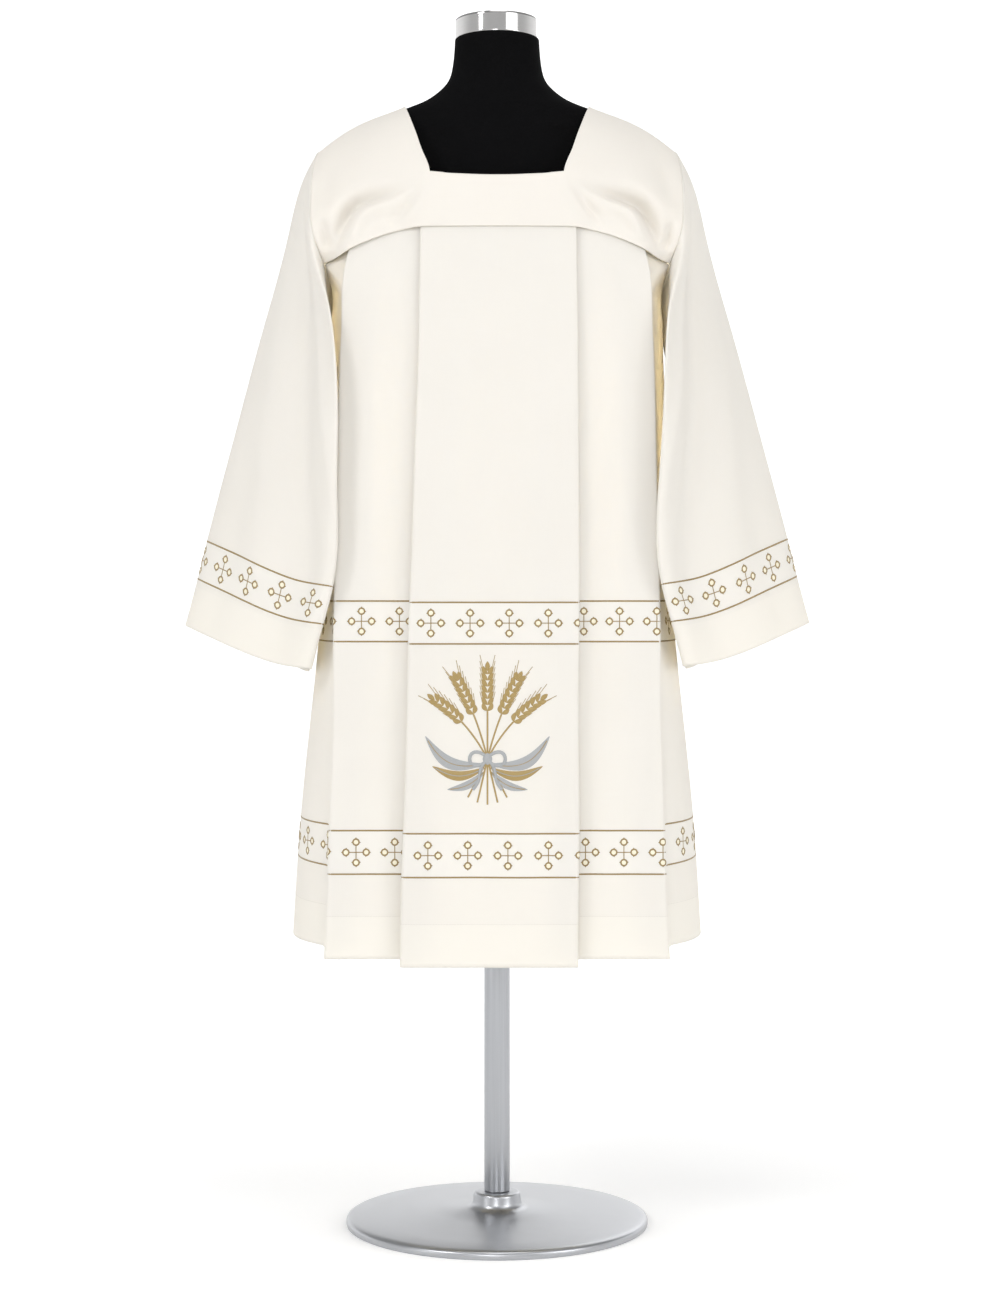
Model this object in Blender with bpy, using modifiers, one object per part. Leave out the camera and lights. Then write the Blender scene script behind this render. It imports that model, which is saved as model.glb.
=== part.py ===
"""Surplice with a square neck, knife pleats and bell sleeves, worn by a limbless dress form.

Blender 4.5 script, metres, +Z up. The origin is on the floor under the middle of the form's
base. The front of the surplice faces -Y. Every piece of cloth is an open surface through
sections worked out from the sizes below, given its wall by Solidify.
"""
import bpy
import bmesh
import math
import numpy as np

# ---------------------------------------------------------------- driving sizes
CLOTH = 0.0012            # cloth wall
SEAM = 0.0015             # from one mid-surface to the next where walls meet at an angle
EDGE_GAP = 0.0006         # between two edges that meet in one plane
LAP = CLOTH + 0.0010      # from one mid-surface to the next where one piece laps another
LAP_RISE = 0.003          # how far the pleated panels run up behind the yoke

SEAM_HEIGHT = 1.2200      # yoke seam at the centre
SEAM_DROP_START = 0.085   # where the yoke seam starts to dip, from the centre
SEAM_DROP = 1.52          # dip = SEAM_DROP * distance ** SEAM_DROP_POWER
SEAM_DROP_POWER = 1.73
HEM_CENTRE = 0.3450       # hem of the centre panel
HEM_PANEL = 0.3527        # hem of the side panels
HEM_SIDE = 0.3640         # hem of the side pieces
UNDERLAY = 0.035          # depth of each pleat's hidden fold
FOLD_DEGREES = (-90, -45, 0, 45, 90)     # points round each pleat's fold
CENTRE_SHARE = (0.0, 0.25, 0.5, 0.75)    # columns of the flat centre panel, as shares of it
PANEL_SHARE = (0.3, 0.55, 0.78)          # columns of the flat side panel, as shares of it
CORNER_DEGREES = (-90, -60, -30)         # points round the side piece's corner
SIDE_STEPS = 7                           # columns from that corner to the side seam
CORNER_RADIUS = 0.008     # round corner of the side piece behind the outer pleat
CORNER_SHARE = 0.06       # where that corner lies between the outer pleat and the side
SIDE_BOW = 1.35           # how full the side piece is: 1 is flat, 2 is round

NECK_CORNER = (0.080, 1.287)    # lower corner of the neckline: across, height
NECK_TOP = (0.1148, 1.391)      # where the neckline meets the shoulder: across, height
NECK_SAG = 0.0045               # sag of the neckline's lower edge
NECK_PROUD = 0.003              # how far the middle of that edge stands forward
YOKE_DEPTH = 0.150              # yoke seam to the shoulder line, front to back
SHOULDER_LIFT = 0.0088          # how far the shoulder line stands above a straight one
SHOULDER_LIFT_LEAN = 1.25       # above 1, it is highest nearer the armhole
SHOULDER_ROLL = (0.007, 0.0, 0.014)   # how the sleeve head rolls out over the shoulder
SIDE_LEAN = {"left": 0.0005, "right": 0.0015}   # outward swing of each cuff

# Sections of the pleated body from the yoke seam down to the hem. drop is the share of
# the way down; depth is how far the centre panel stands in front of the axis; bow is how
# much the front curves back by the outer fold; fold_left, fold_right and fold_outer are
# the pleat edges from the centre; side is the half width; turn is a fold's radius.
BODY_SECTIONS = [
    # drop   depth   bow    fold_left fold_right fold_outer side    turn
    (0.000, 0.1475, 0.0180, 0.0908, 0.0944, 0.1760, 0.1975, 0.0011),
    (0.035, 0.1492, 0.0160, 0.0911, 0.0947, 0.1830, 0.1980, 0.0015),
    (0.157, 0.1540, 0.0120, 0.0928, 0.0960, 0.1875, 0.2010, 0.0020),
    (0.300, 0.1605, 0.0080, 0.0969, 0.0967, 0.1898, 0.2070, 0.0023),
    (0.455, 0.1680, 0.0040, 0.1010, 0.0973, 0.1925, 0.2142, 0.0026),
    (0.567, 0.1725, 0.0030, 0.1044, 0.0966, 0.1937, 0.2213, 0.0028),
    (0.670, 0.1780, 0.0020, 0.1060, 0.0958, 0.1940, 0.2316, 0.0031),
    (0.820, 0.1870, 0.0010, 0.1097, 0.0966, 0.1980, 0.2430, 0.0036),
    (0.900, 0.1920, 0.0005, 0.1120, 0.0955, 0.1998, 0.2473, 0.0038),
    (1.000, 0.1990, 0.0000, 0.1130, 0.0948, 0.2030, 0.2531, 0.0042),
]

# The armhole seam of the front half, from the shoulder down to the underarm.
ARMHOLE = [
    # name      across  depth    height
    ("tip",    0.2220,  0.0000, 1.3370),
    ("chest",  0.2262, -0.0640, 1.2960),
    ("notch",  0.2230, -0.1060, 1.2230),
    ("heel",   0.2045, -0.0980, 1.1810),
    ("under",  0.1985,  0.0000, 1.1520),
]

# Sections of the hanging sleeve: outer silhouette, front edge beside the body, underarm
# line facing the body and rear edge, each as across, depth and height.
SLEEVE_SECTIONS = [
    # outer                      edge                       under                     rear
    ((0.2588, -0.006, 1.2380), (0.2010, -0.1430, 1.1250), (0.2100, -0.012, 1.0780), (0.2350, 0.103, 1.1350)),
    ((0.2897, -0.018, 1.1137), (0.1955, -0.1670, 1.0100), (0.2140, -0.020, 0.9850), (0.2540, 0.095, 1.0350)),
    ((0.3212, -0.031, 0.9878), (0.1950, -0.1720, 0.9050), (0.2185, -0.026, 0.8920), (0.2730, 0.084, 0.9320)),
    ((0.3557, -0.043, 0.8492), (0.1985, -0.1700, 0.7910), (0.2240, -0.030, 0.7830), (0.2930, 0.072, 0.8180)),
    ((0.3667, -0.046, 0.8030), (0.2070, -0.1620, 0.7470), (0.2290, -0.030, 0.7420), (0.3000, 0.068, 0.7750)),
    ((0.3817, -0.048, 0.7452), (0.2218, -0.1480, 0.6938), (0.2370, -0.033, 0.6900), (0.3090, 0.062, 0.7170)),
]
# The points between those four: share of the way, how far proud and, in front, share of sag.
FRONT_POINTS = [(0.34, 0.0170, 0.6), (0.70, 0.0136, 1.0)]     # from outer to edge
REAR_POINTS = [(0.33, 0.0240), (0.67, 0.0240)]                # from rear to outer
FRONT_SAG = 0.009         # how far the front face hangs lower than its two edges
INNER_BELLY = 0.010       # how far the face between underarm and rear edge stands proud
EDGE_WIDTH = 0.24         # share of edge-to-under taken by the rounded front edge
EDGE_PROUD = 0.002        # how far that rounding stands proud
HEEL_STEP = (0.2, EDGE_WIDTH, 0.36)      # the same rounding at the armhole: share of each axis
RING_SAMPLES = (4, 4, 4, 3, 4, 3, 3, 4, 4, 4)    # points on each stretch of a sleeve ring
SEAM_SHARE = (0.33, 0.67)     # extra rings between the armhole and the first hanging one

# Drag folds on the yoke: soft valleys as across, height, half width and depth.
DRAG_FOLDS = [
    # start            end              width  depth
    ((0.120, 1.2680), (0.1530, 1.2620), 0.010, 0.0035),
    ((0.153, 1.2620), (0.1770, 1.2400), 0.011, 0.0060),
    ((0.177, 1.2400), (0.1960, 1.2000), 0.012, 0.0075),
    ((0.096, 1.2720), (0.1170, 1.2340), 0.008, 0.0030),
]

YOKE_SIDE_COLUMNS = 9
YOKE_CENTRE_COLUMNS = 9
YOKE_LOW_ROWS = 4
YOKE_HIGH_ROWS = 7
YOKE_SPRING = 0.0022      # how far the yoke's lower edge springs clear of the outer pleats
YOKE_TURN_START = 0.006   # how far past the outer pleat that edge turns back to the arm
YOKE_TURN = 11.0          # how hard it turns
YOKE_STEP = 0.02          # over what distance that edge passes from centre to side panel
SEAM_EASE = 1.5           # how soon the yoke's rows lose the curve of its seam
CHEST_START = math.radians(23.0)   # where the neckline corner lies on the chest curve

# Sections of the form's torso and neck: height, half width, half depth, roundness.
TORSO_SECTIONS = [
    (0.7000, 0.140, 0.098, 2.3), (0.7080, 0.158, 0.112, 2.3), (0.7400, 0.168, 0.119, 2.3),
    (0.8200, 0.170, 0.120, 2.3), (0.9200, 0.155, 0.111, 2.3), (1.0000, 0.148, 0.106, 2.3),
    (1.0800, 0.154, 0.111, 2.4), (1.1600, 0.165, 0.116, 2.5), (1.2200, 0.172, 0.115, 2.5),
    (1.2700, 0.184, 0.108, 2.5), (1.3050, 0.193, 0.099, 2.5), (1.3300, 0.1985, 0.090, 2.4),
    (1.3450, 0.1980, 0.084, 2.3), (1.3560, 0.1880, 0.080, 2.3), (1.3660, 0.1690, 0.076, 2.2),
    (1.3756, 0.1470, 0.073, 2.2), (1.3855, 0.1235, 0.070, 2.1), (1.3950, 0.0990, 0.0665, 2.0),
    (1.4080, 0.0770, 0.0630, 2.0), (1.4220, 0.0630, 0.0595, 2.0), (1.4400, 0.0562, 0.0562, 2.0),
    (1.4767, 0.0526, 0.0526, 2.0),
]
TORSO_POINTS = 32

CAP_PROFILE = [(0.0, 1.5020), (0.0505, 1.5020), (0.0520, 1.5015), (0.0526, 1.5000),
               (0.0526, 1.4776), (0.0520, 1.4770), (0.0, 1.4770)]
POLE_RADIUS = 0.016
POLE_BOTTOM = 0.0403
POLE_TOP = 0.6997
BASE_PROFILE = [(0.0, 0.0400), (0.026, 0.0400), (0.029, 0.0370), (0.030, 0.0260), (0.036, 0.0205),
                (0.080, 0.0165), (0.150, 0.0130), (0.1840, 0.0100), (0.1880, 0.0070),
                (0.1880, 0.0020), (0.1860, 0.0), (0.0, 0.0)]
LATHE_STEPS = 48


# ---------------------------------------------------------------- scene, materials, walls
def clear_scene():
    for old in list(bpy.data.objects):
        bpy.data.objects.remove(old, do_unlink=True)


def make_collection(name):
    collection = bpy.data.collections.new(name)
    bpy.context.scene.collection.children.link(collection)
    return collection


def make_material(name, color, roughness, metallic=0.0):
    material = bpy.data.materials.new(name)
    material.use_nodes = True
    shader = material.node_tree.nodes["Principled BSDF"]
    shader.inputs["Base Color"].default_value = (*color, 1.0)
    shader.inputs["Roughness"].default_value = roughness
    shader.inputs["Metallic"].default_value = metallic
    return material


def add_object(name, points, faces, material, collection):
    """One smooth mesh object from points and faces."""
    mesh = bpy.data.meshes.new(name)
    mesh.from_pydata([tuple(float(value) for value in point) for point in points], [], faces)
    mesh.materials.append(material)
    mesh.shade_smooth()
    piece = bpy.data.objects.new(name, mesh)
    collection.objects.link(piece)
    return piece


def give_wall(piece):
    """The cloth's wall: Solidify, half on each side of the surface."""
    wall = piece.modifiers.new("wall", "SOLIDIFY")
    wall.thickness = CLOTH
    wall.offset = 0.0
    wall.use_even_offset = True
    wall.use_rim = True


def grid_faces(rows, columns, closed=False, first=0):
    """Quads of a grid whose points run row by row from index first."""
    last = columns if closed else columns - 1
    faces = []
    for row in range(rows - 1):
        for column in range(last):
            beside = (column + 1) % columns
            low = first + row * columns
            high = low + columns
            faces.append((low + column, low + beside, high + beside, high + column))
    return faces


def turned_piece(name, profile, material, collection):
    """A solid of revolution: the profile runs down its outer side and is swept by Screw."""
    points = [(radius, 0.0, height) for radius, height in profile]
    edges = [(index, index + 1) for index in range(len(points) - 1)]
    mesh = bpy.data.meshes.new(name)
    mesh.from_pydata(points, edges, [])
    mesh.materials.append(material)
    piece = bpy.data.objects.new(name, mesh)
    collection.objects.link(piece)
    sweep = piece.modifiers.new("turn", "SCREW")
    sweep.steps = LATHE_STEPS
    sweep.render_steps = LATHE_STEPS
    sweep.use_merge_vertices = True
    sweep.merge_threshold = 0.0001
    return piece


# ---------------------------------------------------------------- shared curves
def smooth_step(value, start, width):
    share = min(max((value - start) / width, 0.0), 1.0)
    return share * share * (3.0 - 2.0 * share)


def lerp(first, second, share):
    return first * (1.0 - share) + second * share


def between(first, second, start, end, knot):
    """The blend of two points whose knots are start and end, read at knot."""
    return lerp(first, second, (knot - start) / (end - start))


def spline_stretch(before, start, end, after, samples):
    """Points of a centripetal Catmull-Rom stretch from start up to, but not at, end."""
    knots = [0.0]
    for near, far in ((before, start), (start, end), (end, after)):
        knots.append(knots[-1] + math.sqrt(np.linalg.norm(far - near)))
    points = []
    for sample in range(samples):
        knot = lerp(knots[1], knots[2], sample / samples)
        first = between(before, start, knots[0], knots[1], knot)
        second = between(start, end, knots[1], knots[2], knot)
        third = between(end, after, knots[2], knots[3], knot)
        left = between(first, second, knots[0], knots[2], knot)
        right = between(second, third, knots[1], knots[3], knot)
        points.append(between(left, right, knots[1], knots[2], knot))
    return points


def closed_ring(corners, samples):
    """A closed smooth ring through the corners, with the given samples on each stretch."""
    count = len(corners)
    ring = []
    for index in range(count):
        neighbours = [corners[(index + step) % count] for step in (-1, 0, 1, 2)]
        ring += spline_stretch(*neighbours, samples[index])
    return np.array(ring)


def armhole_ring(side):
    """The armhole seam as a ring, starting at the shoulder tip and running down the front."""
    front = [np.array(row[1:]) for row in ARMHOLE]
    mirror = np.array([1.0, -1.0, 1.0])
    tip, chest, notch, heel, under = front
    corners = [tip, chest, notch, heel, heel_step(heel, under), under,
               heel_step(heel, under) * mirror, heel * mirror, notch * mirror, chest * mirror]
    return closed_ring(corners, RING_SAMPLES) * np.array([side, 1.0, 1.0])


def heel_step(heel, under):
    """The point just behind the heel, where the seam has turned towards the underarm."""
    return heel + (under - heel) * np.array(HEEL_STEP)


# Where each named point lies in an armhole ring.
RING_TIP = 0
RING_NOTCH = sum(RING_SAMPLES[:2])
RING_HEEL = sum(RING_SAMPLES[:3])
RING_UNDER = sum(RING_SAMPLES[:5])


def seam_height(across):
    dip = max(abs(across) - SEAM_DROP_START, 0.0)
    return SEAM_HEIGHT - SEAM_DROP * dip ** SEAM_DROP_POWER


def front_depth(across, depth, bow, fold_outer):
    """Depth of the top layer of the pleated front at a distance from the centre."""
    return -depth + bow * (across / fold_outer) ** 2


# ---------------------------------------------------------------- pleated body panels
def fold_arc(edge, layer, turn, outward):
    """A fold's half circle as (across, layer depth) pairs, from one layer to the next."""
    centre = edge - turn if outward else edge + turn
    arc = []
    for degrees in FOLD_DEGREES:
        angle = math.radians(degrees)
        reach = math.cos(angle) if outward else -math.cos(angle)
        arc.append((centre + turn * reach, layer + turn + turn * math.sin(angle)))
    return arc


def half_section(section, fold_inner):
    """Plan of half a pleated panel from the centre to the side seam.

    It holds the centre panel, the inner pleat, the side panel, the outer pleat and the
    side piece, which turns a round corner and runs back to the side seam.
    """
    _, depth, bow, _, _, fold_outer, _, turn = section
    layers = [(share * (fold_inner - turn), 0.0) for share in CENTRE_SHARE]
    layers += fold_arc(fold_inner, 0.0, turn, True)
    layers += fold_arc(fold_inner - UNDERLAY, 2 * turn, turn, False)
    first = fold_inner - UNDERLAY + turn
    span = fold_outer - turn - first
    layers += [(first + share * span, 4 * turn) for share in PANEL_SHARE]
    layers += fold_arc(fold_outer, 4 * turn, turn, True)
    layers += fold_arc(fold_outer - UNDERLAY, 6 * turn, turn, False)
    plan = [(across, front_depth(across, depth, bow, fold_outer) + layer) for across, layer in layers]
    return plan + side_piece(section)


def side_piece(section):
    """Plan of the side piece: a round corner, then a slightly bowed run to the side seam."""
    _, depth, bow, _, _, fold_outer, side, turn = section
    corner = fold_outer + CORNER_SHARE * (side - fold_outer)
    face = front_depth(corner, depth, bow, fold_outer) + 8 * turn
    plan = []
    for degrees in CORNER_DEGREES:
        angle = math.radians(degrees)
        across = corner - CORNER_RADIUS + CORNER_RADIUS * math.cos(angle)
        plan.append((across, face + CORNER_RADIUS * (1 + math.sin(angle))))
    start = face + CORNER_RADIUS
    for step in range(SIDE_STEPS):
        share = step / (SIDE_STEPS - 1)
        bowed = side - (side - corner) * (1.0 - share) ** SIDE_BOW
        plan.append((bowed, lerp(start, -EDGE_GAP / 2, share)))
    return plan


# Columns of a side piece, of one pleat, and from the centre to the last pleat's turn.
SIDE_COLUMNS = len(CORNER_DEGREES) + SIDE_STEPS
PLEAT_COLUMNS = 2 * len(FOLD_DEGREES)
PANEL_COLUMNS = len(CENTRE_SHARE) + PLEAT_COLUMNS + len(PANEL_SHARE) + PLEAT_COLUMNS


def body_columns(facing):
    """Sections of a pleated panel as an array: section, column, xyz. facing is -1 or 1."""
    plans = []
    for section in BODY_SECTIONS:
        left = [(-across, depth) for across, depth in half_section(section, section[3])]
        right = half_section(section, section[4])
        plans.append(left[:0:-1] + right)
    top = top_edge(plans[0])
    hem = hem_heights(len(top))
    rows = [top]
    for section, plan in zip(BODY_SECTIONS[1:], plans[1:]):
        drop = section[0]
        rows.append([
            (across, depth, lerp(high[2], low, drop))
            for (across, depth), high, low in zip(plan, top, hem)
        ])
    grid = np.array(rows)
    grid[:, :, 1] *= -facing
    return grid


def top_edge(plan):
    """The panel's upper edge: behind the yoke seam, then along the armholes' undersides."""
    edge = [np.array([across, depth, seam_height(across) + LAP_RISE]) for across, depth in plan]
    for side in (-1.0, 1.0):
        ring = armhole_ring(side)[RING_HEEL:RING_UNDER + 1]
        along = measured_shares(ring)
        for place in range(SIDE_COLUMNS):
            share = place / (SIDE_COLUMNS - 1)
            seat = [np.interp(share, along, ring[:, axis]) for axis in range(3)]
            column = SIDE_COLUMNS - 1 - place if side < 0 else place - SIDE_COLUMNS
            depth = min(seat[1], -EDGE_GAP / 2)
            edge[column] = np.array([seat[0] - side * SEAM, depth, seat[2] - SEAM])
    return edge


def measured_shares(ring):
    """Share of the length reached at each point of an open line."""
    steps = np.linalg.norm(np.diff(ring, axis=0), axis=1)
    reached = np.concatenate([[0.0], np.cumsum(steps)])
    return reached / reached[-1]


def hem_heights(count):
    """Hem height of each column: centre panel lowest, then side panels, then side pieces."""
    half = count // 2
    fold = len(FOLD_DEGREES)
    heights = []
    for column in range(count):
        place = abs(column - half)
        if place < len(CENTRE_SHARE) + fold:
            heights.append(HEM_CENTRE)
        elif place < PANEL_COLUMNS - fold:
            heights.append(HEM_PANEL)
        else:
            heights.append(HEM_SIDE)
    return heights


def body_panel(name, facing, material, collection):
    grid = body_columns(facing)
    rows, columns, _ = grid.shape
    faces = grid_faces(rows, columns)
    if facing > 0:
        faces = [face[::-1] for face in faces]
    piece = add_object(name, grid.reshape(-1, 3), faces, material, collection)
    give_wall(piece)
    return piece


# ---------------------------------------------------------------- yoke
def valley(across, height):
    """Depth of the drag folds at a point of the yoke."""
    total = 0.0
    for start, end, width, depth in DRAG_FOLDS:
        run = (end[0] - start[0], end[1] - start[1])
        offset = (across - start[0], height - start[1])
        share = (offset[0] * run[0] + offset[1] * run[1]) / (run[0] ** 2 + run[1] ** 2)
        share = min(max(share, 0.0), 1.0)
        away = math.hypot(offset[0] - share * run[0], offset[1] - share * run[1])
        total = max(total, depth * math.exp(-(away / width) ** 2))
    return total


def yoke_seam_point(across):
    """A point of the yoke's lower edge, just in front of the pleated panels."""
    _, depth, bow, _, fold_right, fold_outer, _, turn = BODY_SECTIONS[0]
    lean = front_depth(across, depth, bow, fold_outer)
    lean += 4 * turn * smooth_step(abs(across), fold_right, YOKE_STEP)
    lean -= YOKE_SPRING * smooth_step(abs(across), fold_right, fold_outer - fold_right)
    lean += YOKE_TURN * max(abs(across) - fold_outer - YOKE_TURN_START, 0.0) ** 1.5
    return np.array([across, lean - LAP, seam_height(across)])


def neck_side_point(share, side):
    """A point of the neckline's side edge, from its lower corner up to the shoulder."""
    angle = CHEST_START + (math.pi / 2 - CHEST_START) * share
    rise = NECK_TOP[1] - SEAM_HEIGHT
    height = SEAM_HEIGHT + rise * math.sin(angle)
    climb = (height - NECK_CORNER[1]) / (NECK_TOP[1] - NECK_CORNER[1])
    across = NECK_CORNER[0] + (NECK_TOP[0] - NECK_CORNER[0]) * climb
    return np.array([side * across, -YOKE_DEPTH * math.cos(angle), height])


def lift_direction(share):
    """Which way, and how much, the shoulder's fullness lifts a row between neck and ridge."""
    angle = CHEST_START + (math.pi / 2 - CHEST_START) * share
    return share * np.array([0.0, -math.cos(angle), math.sin(angle)])


def shoulder_block(side):
    """Grid of one side of the yoke: rows from the seam up to the shoulder line, columns
    from the neckline out to the armhole. Straight runs between the neckline's side and
    the armhole are eased onto the curved lower seam."""
    ring = armhole_ring(side)
    low_share = [row / (YOKE_LOW_ROWS - 1) for row in range(YOKE_LOW_ROWS)]
    high_share = [row / YOKE_HIGH_ROWS for row in range(1, YOKE_HIGH_ROWS + 1)]
    inner = [lerp(yoke_seam_point(side * NECK_CORNER[0]), neck_side_point(0.0, side), share)
             for share in low_share]
    inner += [neck_side_point(share, side) for share in high_share]
    outer = [ring_point(ring, RING_HEEL + (RING_NOTCH - RING_HEEL) * share) for share in low_share]
    outer += [ring_point(ring, RING_NOTCH * (1.0 - share)) for share in high_share]
    outer = [point - np.array([side * SEAM / 2, 0.0, 0.0]) for point in outer]
    raised = [np.zeros(3) for _ in low_share] + [lift_direction(share) for share in high_share]
    grid = []
    for row in range(len(inner)):
        ease = max(1.0 - row / YOKE_LOW_ROWS, 0.0) ** SEAM_EASE
        line = []
        for column in range(YOKE_SIDE_COLUMNS):
            share = column / (YOKE_SIDE_COLUMNS - 1)
            point = lerp(inner[row], outer[row], share)
            straight = lerp(inner[0], outer[0], share)
            seam = yoke_seam_point(side * abs(straight[0]))
            if column == YOKE_SIDE_COLUMNS - 1:
                seam = outer[0]
            lift = SHOULDER_LIFT * math.sin(math.pi * share ** SHOULDER_LIFT_LEAN)
            line.append(point + (seam - straight) * ease + lift * raised[row])
        grid.append(line)
    return np.array(grid)


def ring_point(ring, at):
    low = int(math.floor(at))
    high = min(low + 1, len(ring) - 1)
    return lerp(ring[low], ring[high], at - low)


def centre_block(left, right):
    """Grid of the yoke below the neckline, between the two shoulder blocks."""
    grid = []
    for row in range(YOKE_LOW_ROWS):
        rise = row / (YOKE_LOW_ROWS - 1)
        line = []
        for column in range(1, YOKE_CENTRE_COLUMNS):
            share = column / YOKE_CENTRE_COLUMNS
            point = lerp(left[row][0], right[row][0], share)
            seam = yoke_seam_point(point[0])
            bulge = 4.0 * share * (1.0 - share)
            top = point + np.array([0.0, -NECK_PROUD * bulge, -NECK_SAG * bulge])
            line.append(lerp(seam, top, rise))
        grid.append(line)
    return grid


def yoke_panel(name, facing, material, collection):
    """Front or back half of the yoke, one surface round the open neckline."""
    left = shoulder_block(-1.0)
    right = shoulder_block(1.0)
    middle = centre_block(left, right)
    points = []
    rows = []
    for row in range(len(left)):
        line = list(left[row][::-1])
        if row < YOKE_LOW_ROWS:
            line += middle[row]
        line += list(right[row])
        rows.append(list(range(len(points), len(points) + len(line))))
        points += line
    points = np.array(points)
    for point in points:
        point[1] = min(point[1] + valley(abs(point[0]), point[2]), -EDGE_GAP / 2)
    points[:, 1] *= -facing
    faces = yoke_faces(rows, facing)
    piece = add_object(name, points, faces, material, collection)
    give_wall(piece)
    return piece


def yoke_faces(rows, facing):
    """Quads between the rows of the yoke, leaving the neckline open above its lower rows."""
    faces = []
    wide = len(rows[0])
    neckline = range(YOKE_SIDE_COLUMNS - 1, wide - YOKE_SIDE_COLUMNS)
    for row in range(len(rows) - 1):
        low = rows[row]
        high = rows[row + 1]
        for column in range(wide - 1):
            if row >= YOKE_LOW_ROWS - 1 and column in neckline:
                continue
            low_at = narrow_column(column, len(low), wide)
            high_at = narrow_column(column, len(high), wide)
            faces.append((low[low_at], low[low_at + 1], high[high_at + 1], high[high_at]))
    if facing > 0:
        faces = [face[::-1] for face in faces]
    return faces


def narrow_column(column, count, wide):
    """Where a full-width column lies in a row that has no centre block."""
    return column if column < YOKE_SIDE_COLUMNS else column - (wide - count)


# ---------------------------------------------------------------- sleeves
def proud_point(start, end, centre, share, amount):
    """A point between start and end, moved away from the section's centre."""
    point = lerp(start, end, share)
    away = point - centre
    return point + away / np.linalg.norm(away) * amount


def hanging_corners(section, side):
    """The named points of one hanging section, in ring order."""
    outer, edge, under, rear = [np.array(point) for point in section]
    centre = (outer + edge + under + rear) / 4
    corners = [outer]
    for share, proud, sag in FRONT_POINTS:
        drop = np.array([0.0, 0.0, FRONT_SAG * sag])
        corners.append(proud_point(outer, edge, centre, share, proud) - drop)
    corners += [
        edge,
        proud_point(edge, under, centre, EDGE_WIDTH, EDGE_PROUD),
        under,
        proud_point(under, rear, centre, 0.5, INNER_BELLY),
        rear,
    ]
    corners += [proud_point(rear, outer, centre, share, proud) for share, proud in REAR_POINTS]
    lean = SIDE_LEAN["right" if side > 0 else "left"]
    cuff = SLEEVE_SECTIONS[-1][0][2]
    sway = lean * (SEAM_HEIGHT - outer[2]) / (SEAM_HEIGHT - cuff)
    return [corner + np.array([sway, 0.0, 0.0]) for corner in corners]


def sleeve(name, side, material, collection):
    """A bell sleeve: rings from the armhole, over the shoulder, and down to the cuff."""
    armhole = armhole_ring(1.0) + np.array([SEAM / 2, 0.0, 0.0])
    hanging = [closed_ring(hanging_corners(section, side), RING_SAMPLES) for section in SLEEVE_SECTIONS]
    roll = lerp(armhole, hanging[0], 0.5) + np.array(SHOULDER_ROLL)
    rings = [armhole]
    for share in SEAM_SHARE:
        rings.append(lerp(lerp(armhole, roll, share), lerp(roll, hanging[0], share), share))
    rings = np.array(rings + hanging)
    rings[:, :, 0] *= side
    faces = grid_faces(len(rings), rings.shape[1], closed=True)
    if side > 0:
        faces = [face[::-1] for face in faces]
    piece = add_object(name, rings.reshape(-1, 3), faces, material, collection)
    give_wall(piece)
    return piece


# ---------------------------------------------------------------- dress form
def torso(material, collection):
    """The form's torso and neck: superellipse sections, closed top and bottom."""
    points = []
    for height, half_width, half_depth, roundness in TORSO_SECTIONS:
        for step in range(TORSO_POINTS):
            angle = 2 * math.pi * step / TORSO_POINTS
            cosine = math.cos(angle)
            sine = math.sin(angle)
            across = half_width * math.copysign(abs(cosine) ** (2 / roundness), cosine)
            depth = half_depth * math.copysign(abs(sine) ** (2 / roundness), sine)
            points.append((across, depth, height))
    rows = len(TORSO_SECTIONS)
    faces = grid_faces(rows, TORSO_POINTS, closed=True)
    faces.append(tuple(reversed(range(TORSO_POINTS))))
    faces.append(tuple(range((rows - 1) * TORSO_POINTS, rows * TORSO_POINTS)))
    return add_object("form_torso", points, faces, material, collection)


def pole(material, collection):
    length = POLE_TOP - POLE_BOTTOM
    mesh = bpy.data.meshes.new("pole")
    shape = bmesh.new()
    bmesh.ops.create_cone(shape, cap_ends=True, segments=LATHE_STEPS // 2,
                          radius1=POLE_RADIUS, radius2=POLE_RADIUS, depth=length)
    shape.to_mesh(mesh)
    shape.free()
    mesh.materials.append(material)
    piece = bpy.data.objects.new("pole", mesh)
    piece.location = (0.0, 0.0, POLE_BOTTOM + length / 2)
    collection.objects.link(piece)
    return piece


def build():
    clear_scene()
    collection = make_collection("surplice_on_dress_form")
    cloth = make_material("surplice_cloth", (0.90, 0.88, 0.82), 0.75)
    jersey = make_material("form_jersey", (0.012, 0.012, 0.013), 0.85)
    chrome = make_material("form_chrome", (0.75, 0.76, 0.78), 0.12, 1.0)
    steel = make_material("form_steel", (0.35, 0.36, 0.38), 0.35, 1.0)
    turned_piece("base", BASE_PROFILE, steel, collection)
    pole(steel, collection)
    torso(jersey, collection)
    turned_piece("neck_cap", CAP_PROFILE, chrome, collection)
    yoke_panel("yoke_front", -1, cloth, collection)
    yoke_panel("yoke_back", 1, cloth, collection)
    body_panel("body_front", -1, cloth, collection)
    body_panel("body_back", 1, cloth, collection)
    sleeve("sleeve_left", -1.0, cloth, collection)
    sleeve("sleeve_right", 1.0, cloth, collection)


build()
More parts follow.
